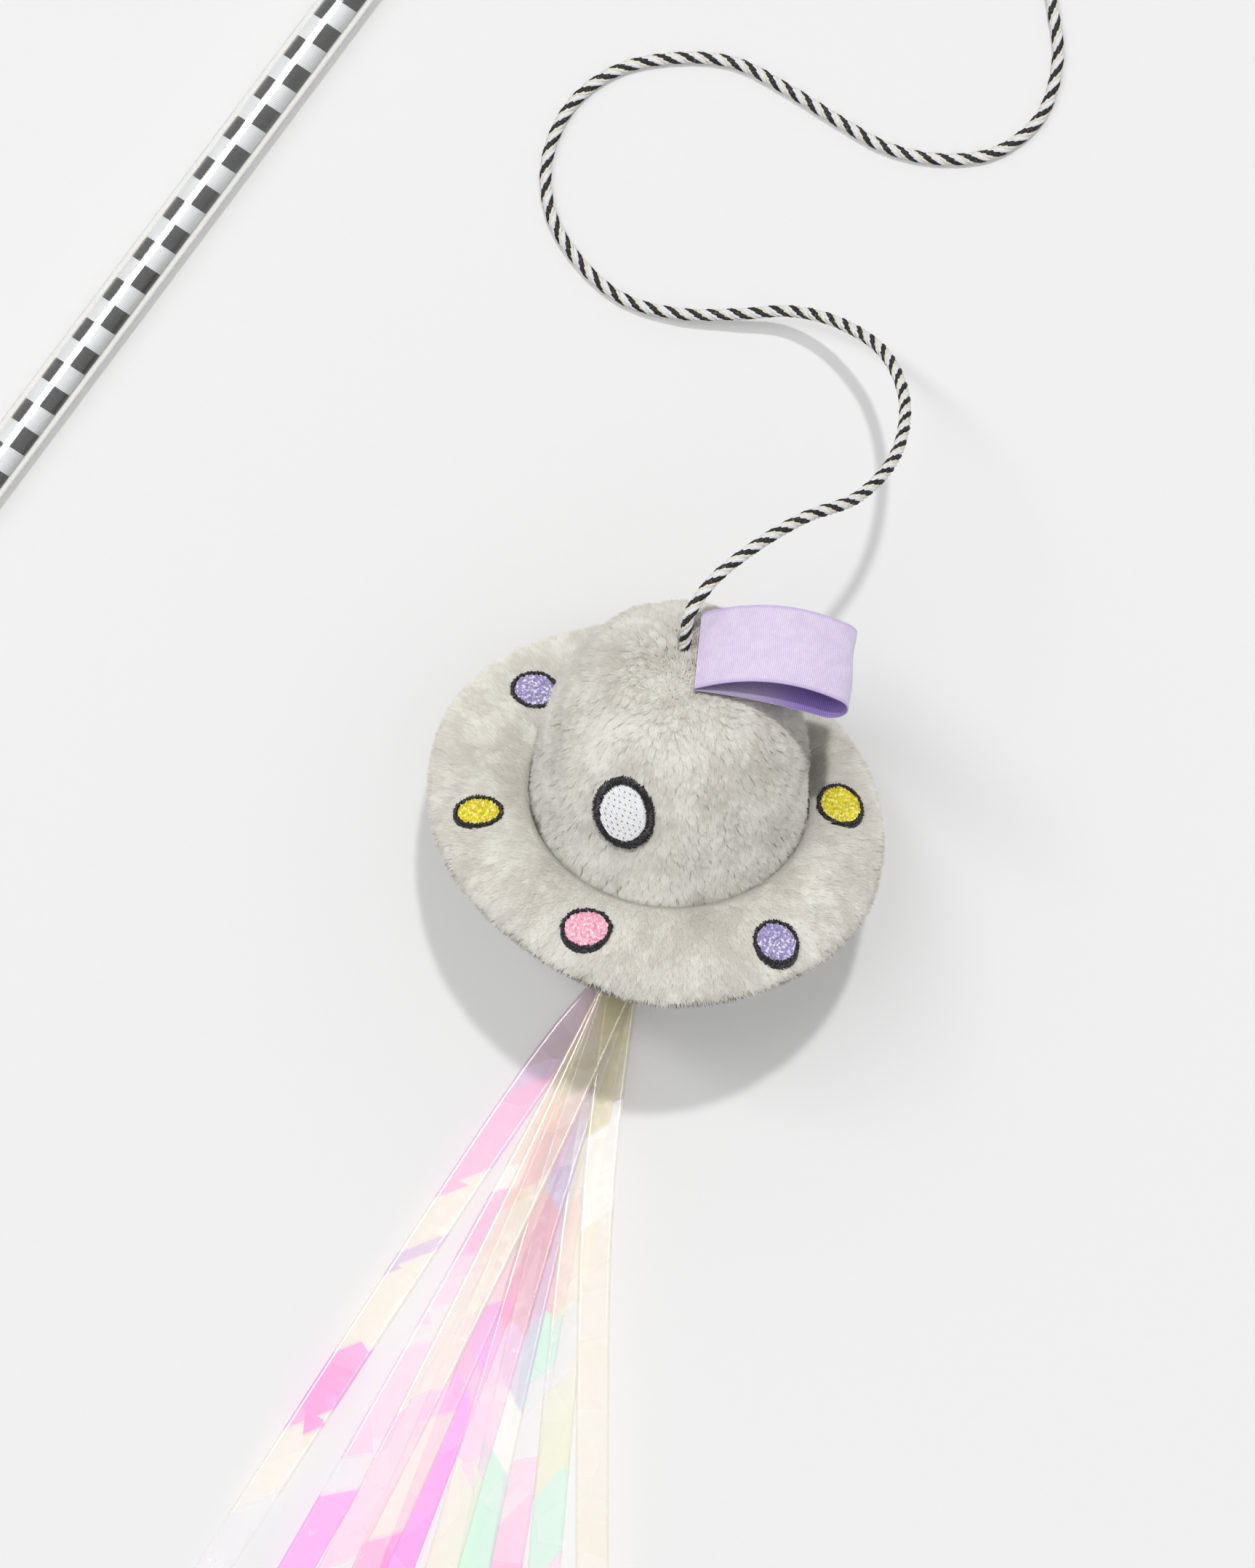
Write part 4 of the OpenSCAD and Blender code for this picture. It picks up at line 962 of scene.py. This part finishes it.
def ringUnder(place, a, b, line, rise):
    t = (np.arange(60) / 60 * 2 * math.pi)[None]
    out = np.array([0, 0, 0.15, 0.5, 0.85, 1, 1, 0.5, 0])[:, None] * line
    lift = np.array([-1.5, rise - 0.3, rise - 0.08, rise, rise - 0.08, rise - 0.3, -1.5, -1.55, -1.5])
    ring = place((a - out) * np.cos(t), (b - out) * np.sin(t), lift[:, None] * np.ones_like(t))
    grounds["black"].append(gridPiece("ring", onToy(ring), threads["black"], wrap=True))


def outline(place, a, b, style):
    # close satin stitches across the outline, a little ragged
    line, rise = style["line"], style["rise"]
    count = round(math.pi * (a + b) / style["pitch"])
    t = (np.arange(count) + rng.uniform(-0.2, 0.2, count)) / count * 2 * math.pi
    ringUnder(place, a - 0.14, b - 0.14, line - 0.28, rise)
    out, inward = rng.uniform(-0.2, 0.26, count), rng.uniform(-0.1, 0.3, count)
    u, v = (a - line / 2 + (out - inward) / 2) * np.cos(t), (b - line / 2 + (out - inward) / 2) * np.sin(t)
    size = np.column_stack([line + out + inward, sizes(count, (0.24, 0.34), (0.3, 0.45))])
    slant = rng.uniform(0.0, 0.4, count)
    lay("black", place, u, v, rise + 0.1, np.cos(t) - slant * np.sin(t), np.sin(t) + slant * np.cos(t), size)


for k in range(6):
    stitchDot(k)
halfW, halfH = window["w"] / 2 - window["line"], window["h"] / 2 - window["line"]
crownedPad("white", windowPlace, halfW, halfH, -1.6, 0.1, 0.3, 52)
for row in np.arange(-1, 1.001, 0.5 / halfH):
    reach = halfW * math.sqrt(max(0, 1 - row * row))
    if reach > 0.6:
        u = np.arange(-reach + rng.uniform(0.1, 0.7), reach - 0.2, 0.72)
        v = row * halfH + rng.uniform(-0.05, 0.05, len(u))
        lay("white", windowPlace, u, v, 0.16 + 0.3 * (1 - np.hypot(u / halfW, v / halfH)), -0.8, 0.6,
            sizes(len(u), *window["stitch"]))
for row in np.arange(-0.8, 0.81, 0.2):
    reach = halfW * math.sqrt(1 - row * row) - 0.8
    u = np.arange(-reach + rng.uniform(0, 0.8), reach, 1.15)
    if len(u):
        size = np.column_stack([rng.uniform(0.3, 0.5, len(u)), np.full((len(u), 2), (0.11, 0.15))])
        v = row * halfH + rng.uniform(-0.1, 0.1, len(u))
        lay("black", windowPlace, u, v, 0.43 + 0.2 * (1 - abs(row)), -0.8, 0.6, size)
outline(windowPlace, window["w"] / 2, window["h"] / 2, window)


def joined(name, pieces):
    # one object from several, with the first one's material
    bpy.ops.object.select_all(action="DESELECT")
    for p in pieces:
        p.select_set(True)
    bpy.context.view_layer.objects.active = pieces[0]
    bpy.ops.object.join()
    pieces[0].name = pieces[0].data.name = name
    return pieces[0]


fills = {c: ["dot_fill_%d" % k for k in (n, n + 3)] for n, c in enumerate(dots["colour"][:3], 1)}
fills["white"] = ["window_fill"]
fills["black"] = ["window_outline"] + ["dot_outline_%d" % k for k in range(1, 7)]
for colour, nodes in fills.items():
    at, along, up, size = np.hsplit(np.vstack(stitching[colour]), 4)
    seat = meshPiece("seat", at, [], None)
    for name, values in (("along", along), ("up", up), ("size", size * mm)):
        note(seat, name, values, "FLOAT_VECTOR")
    laid = grow(colour + "_stitches", seat, stitchLayer, {"Thread": thread, "Finish": threads[colour]})
    laid.data.polygons.foreach_set("use_smooth", [True] * len(laid.data.polygons))
    sewn = joined(colour + "_embroidery", [laid] + grounds[colour])
    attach(sewn, "toy")
    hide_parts(*nodes)
putAway(thread)
print("embroidery sewn")


tag = {"wide": 16.5, "long": 30.0, "thick": 0.3, "fold": 3.4, "arch": 5.2, "seam": 2.6, "twist": 8,
       "off": -0.085, "seat": 0.85, "peak": 0.48, "turn": 0.9, "lap": 0.55, "backA": 19, "rib": 0.38,
       "paintedShadeFrom": 42, "paintedShadeTo": 54}


def tagLine():
    # from the seam over the arch, round the fold and back underneath
    peak, turn = tag["long"] * tag["peak"], tag["long"] * tag["turn"]
    over = lambda x: tag["arch"] * (1 - (1 - x / peak) ** 2)
    slope = math.atan(2 * tag["arch"] * (1 - turn / peak) / peak)
    middle = np.array([turn, over(turn)]) + tag["fold"] * np.array([math.sin(slope), -math.cos(slope)])
    a = np.linspace(math.pi / 2 + slope, -math.pi / 2 - math.radians(tag["backA"]), 40)
    bend = middle + tag["fold"] * np.column_stack([np.cos(a), np.sin(a)])
    drop = -bend[-1, 1] - tag["lap"]
    power = math.tan(math.radians(tag["backA"])) * bend[-1, 0] / drop
    x, back = np.linspace(0, turn, 30), np.linspace(1, 0, 30)[1:]
    line = np.vstack([np.column_stack([x, over(x)]), bend[1:],
                      np.column_stack([bend[-1, 0] * back, -tag["lap"] - drop * back ** power])])
    flat, _ = evenLine(np.column_stack([line, np.zeros(len(line))]), 0.6)
    return flat[:, :2]


def ribbonFinish(bench):
    place = bench.uv("ribbon")
    along, across = place, place.out("Y")
    rib = (along * (2 * math.pi / tag["rib"])).wave()
    bead = (across * (2 * math.pi / 0.42) + (along / tag["rib"]).maths("FLOOR") * math.pi).wave()
    half = tag["wide"] / 2
    edge = (across - half).maths("ABSOLUTE").between(half - 0.9, half - 0.3)
    # blotches of uneven threads, partly painted sheen
    threadsAndSheen = bench.grain(420, 4, rough=0.7).between(0.3, 0.7)
    weave = rib * 0.45 + bead * 0.35 + threadsAndSheen * 0.2
    face = bench.blend(weave, tone(200, 178, 226), tone(247, 238, 252))
    face = bench.blend(edge * 0.5, face, tone(190, 166, 220))
    # towards the seam the inner side turns mauve-grey: painted shade where the lower layer lies in shadow
    inside = bench.blend(along.between(tag["paintedShadeFrom"], tag["paintedShadeTo"]), tone(132, 100, 190),
                         tone(176, 162, 192))
    inside = bench.blend(rib * 0.3, inside, tone(210, 200, 226))
    innerSide = bench.node("ShaderNodeAttribute", {"attribute_name": "inside"}).out("Fac")
    return bench.surface({"Base Color": bench.blend(innerSide, face, inside), "Roughness": 0.5,
                          "Sheen Weight": 0.25},
                         weave, 0.16, 0.7)


line = tagLine()
n = len(line)
run = np.concatenate([[0], np.cumsum(np.linalg.norm(np.diff(line, axis=0), axis=1))])
cross = np.linspace(-0.5, 0.5, 34)
way = unit(np.gradient(line, axis=0))
normal = np.column_stack([-way[:, 1], way[:, 0]])
lean = math.radians(90 + tag["twist"])


def tagPoints(off):
    flat = line + off * normal
    x = flat[:, :1] + 0.25 * np.sin(cross * 9)[None] * ease(run / 12)[:, None] * 0.6
    y = flat[:, 1:] + 0.22 * np.cos(cross * 5 + 1)[None] * np.sin(run / run[-1] * math.pi)[:, None]
    z = np.broadcast_to(cross * tag["wide"], x.shape)
    p = np.stack([x, y * math.cos(lean) - z * math.sin(lean), y * math.sin(lean) + z * math.cos(lean)], -1)
    return onToy(p + [tag["seam"], tag["wide"] * tag["off"], toy["domeHeight"] + tag["seat"]])


# its outer and inner sides, and the narrow wall round their edge
sides = [tagPoints(way * tag["thick"] / 2) for way in (1, -1)]
rows, cols = sides[0].shape[:2]
count = rows * cols
faces, i, j = gridFaces(rows, cols, False)
inwards = [[a + count for a in f][::-1] for f in faces]
last = (rows - 1) * cols
border = [(k * cols, (k + 1) * cols) for k in range(rows - 1)]
border += [(b + cols - 1, a + cols - 1) for a, b in border]
border += [(k + 1, k) for k in range(cols - 1)] + [(last + k, last + k + 1) for k in range(cols - 1)]
faces += inwards + [[a, b, b + count, a + count] for a, b in border]
corners = [[run[k % count // cols], (cross[k % cols] + 0.5) * tag["wide"]] for f in faces for k in f]
label = meshPiece("label_ribbon", sides, faces, newFinish("lilacRibbon", ribbonFinish), corners, "ribbon")
note(label, "inside", [0.0] * count + [1.0] * count)
label.data.set_sharp_from_angle(angle=math.radians(50))
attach(label, "tag")
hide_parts("ribbon_tag")
print("tag folded")


film = {"wide": 6.35, "thick": 0.06, "pitch": 0.42, "long": 176.0, "bend": 0.045, "mid": 184, "lift": 0.018,
        "low": 0.67,
        "az": [172, 196, 190, 202, 199, 195, 205, 198, 209, 193],
        "far": [184, 196, 187, 208, 205, 193, 212, 201, 217, 190],
        "knee": [0.16, 0.3, 0.3, 0.3, 0.3, 0.3, 0.3, 0.3, 0.3, 0.3],
        "share": [0.97, 0.93, 1, 0.96, 0.92, 0.98, 0.9, 0.95, 0.85, 0.94]}
toward = lambda a: np.array([cosOf(a), sinOf(a)])
root = base[:2] - toy["bellyHeight"] * toyAxis[:2] + 3 * toward(film["mid"])


def filmLine(k):
    # straight out of the collar, then a curve that its knee draws aside
    bend, knee, long = (film["long"] * share for share in (film["bend"], film["knee"][k], film["share"][k]))
    start = root + bend * toward(film["mid"])
    turn = start + (knee - bend) * toward(film["az"][k])
    tip = turn + (long - knee) * toward(film["far"][k])
    t = np.linspace(0, 1, 60)[:, None]
    curve = (1 - t) ** 3 * start + 3 * t * (1 - t) * turn + t ** 3 * tip
    line = np.vstack([root + out * toward(film["mid"]) for out in (0.1, 2, 3.8)] + [curve])
    at, along = evenLine(np.column_stack([line, np.zeros(len(line))]), 2)
    at = at[:, :2]
    way = unit(np.gradient(at, axis=0))
    low = film["low"] + k * film["pitch"] + film["long"] * film["lift"] * np.sin(
        math.pi * np.linalg.norm(at - root, axis=1) / film["long"]) ** 2
    return at, along, np.column_stack([-way[:, 1], way[:, 0]]), low


paperTone = 0.87


def filmTone(r, g, b, veil=0.55):
    # a film colour that looks like the given one when it lies on pale paper, both faces counted
    seen = np.array(tone(r, g, b)[:3])
    return (*np.clip((seen - (1 - veil) * paperTone) / veil, 0.01, 1), 1 - math.sqrt(1 - veil))


# each as red, green and blue, and how much of the light it stops where that isn't the usual
films = {
    "greyPink": (222, 204, 214), "lilacPink": (232, 212, 234), "pink": (248, 206, 230),
    "rose": (246, 216, 220), "cream": (245, 240, 231, 0.6), "strongPink": (250, 186, 229, 0.7),
    "clear": (240, 239, 240, 0.3), "olive": (236, 231, 208), "lavender": (232, 225, 238),
    "palePink": (248, 226, 238, 0.45),
    "violetPink": (250, 180, 240, 0.75), "peach": (248, 233, 222), "white": (250, 248, 244, 0.7),
    "mint": (222, 244, 232), "leaf": (240, 240, 222), "straw": (244, 240, 228, 0.6), "khaki": (234, 228, 204)}
films = {name: filmTone(*look) for name, look in films.items()}
# each strip's patches, with the share of its length where each one begins
patches = [
    "greyPink 0 lilacPink .17 pink .2 cream .33 lilacPink .4 cream .42 strongPink .54 "
    "cream .64 clear .73 pink .86",
    "olive 0 lavender .2 palePink .3 violetPink .36 pink .5 violetPink .53 strongPink .8",
    "peach 0 white .28 pink .31 palePink .38 clear .46 palePink .5 clear .62 violetPink .665 pink .84",
    "olive 0 cream .18 rose .3 mint .42 clear .5 palePink .58 pink .65 cream .9",
    "olive 0 lavender .25 white .5 mint .6 palePink .75",
    "pink 0 cream .12 pink .2 cream .3 palePink .42 cream .55 pink .7",
    "olive 0 cream .2 clear .4 leaf .5 mint .6 palePink .7",
    "lavender 0 rose .3 palePink .45 straw .6",
    "khaki 0 olive .12 white .2 cream .3 straw .8",
    "khaki 0 peach .18 cream .3 palePink .55 clear .75"]


def filmStops(words):
    # hard-edged stops, each colour held up to the next one
    colours, starts = words.split()[::2], [float(s) for s in words.split()[1::2]]
    stops = [(starts[0], films[colours[0]])]
    for before, after, start in zip(colours, colours[1:], starts[1:]):
        stops += [(start - 0.002, films[before]), (start + 0.002, films[after])]
    return stops


def filmFinish(k, stops, slant):
    def build(bench):
        place = bench.uv("film")
        along, across = place, place.out("Y")
        crease = bench.cells(70.0 + 5 * k)
        facet = bench.node("ShaderNodeSeparateColor", None, {0: crease.out("Color")})
        mark = along + (across - 0.5) * slant + (facet - 0.5) * 0.035
        ramp = bench.node("ShaderNodeValToRGB", {"stops": stops}, {0: mark})
        scratch = bench.grain(500, 2).between(0.45, 0.75)
        glint = (crease.out("Distance") < 0.12) * scratch
        paler = bench.blend(facet.out("Green") * 0.3 + glint * 0.4, ramp, tone(252, 248, 250))
        whole = across.between(0.0, 0.02) * (1 - across.between(0.98, 1.0))
        skin = bench.surface({
            "Base Color": paler,
            "Alpha": (ramp.out("Alpha") + facet.out("Blue") * 0.08 + glint * 0.2) * whole,
            "Roughness": scratch * 0.12 + 0.1, "Specular IOR Level": 0.8, "Coat Weight": 0.4,
            "Coat Roughness": 0.08}, facet * 0.3 + bench.grain(90, 2), 0.2, 0.4)
        return bench.letThrough(skin, 0.93)
    return newFinish("film%d" % (k + 1), build)


for k in range(10):
    at, s, side, low = filmLine(k)
    e = np.linspace(-0.5, 0.5, 9)
    far = ease((s - 20) / 60)
    curl = far[:, None] * (0.1 * (2 * e[None]) ** 2 * math.cos(k * 2.1) + 0.06 * np.sin(s / 9 + k)[:, None])
    xy = at[:, None] + film["wide"] * e[None, :, None] * side[:, None]
    grid = np.concatenate([xy, (low[:, None] + 0.1 + curl)[..., None]], -1)
    finish = filmFinish(k, filmStops(patches[k]), (0.05, -0.04, 0.03)[k % 3])
    piece = gridPiece("film_strip_%d" % (k + 1), grid[:, ::-1], finish, s / film["long"], e[::-1] + 0.5,
                      uvName="film")
    thicken(piece, film["thick"], 0)
    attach(piece, "streamers")
    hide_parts("streamer_%d" % (k + 1))

refinish(threads["white"], "streamer_binding", "streamer_tack")
print("streamers laid")
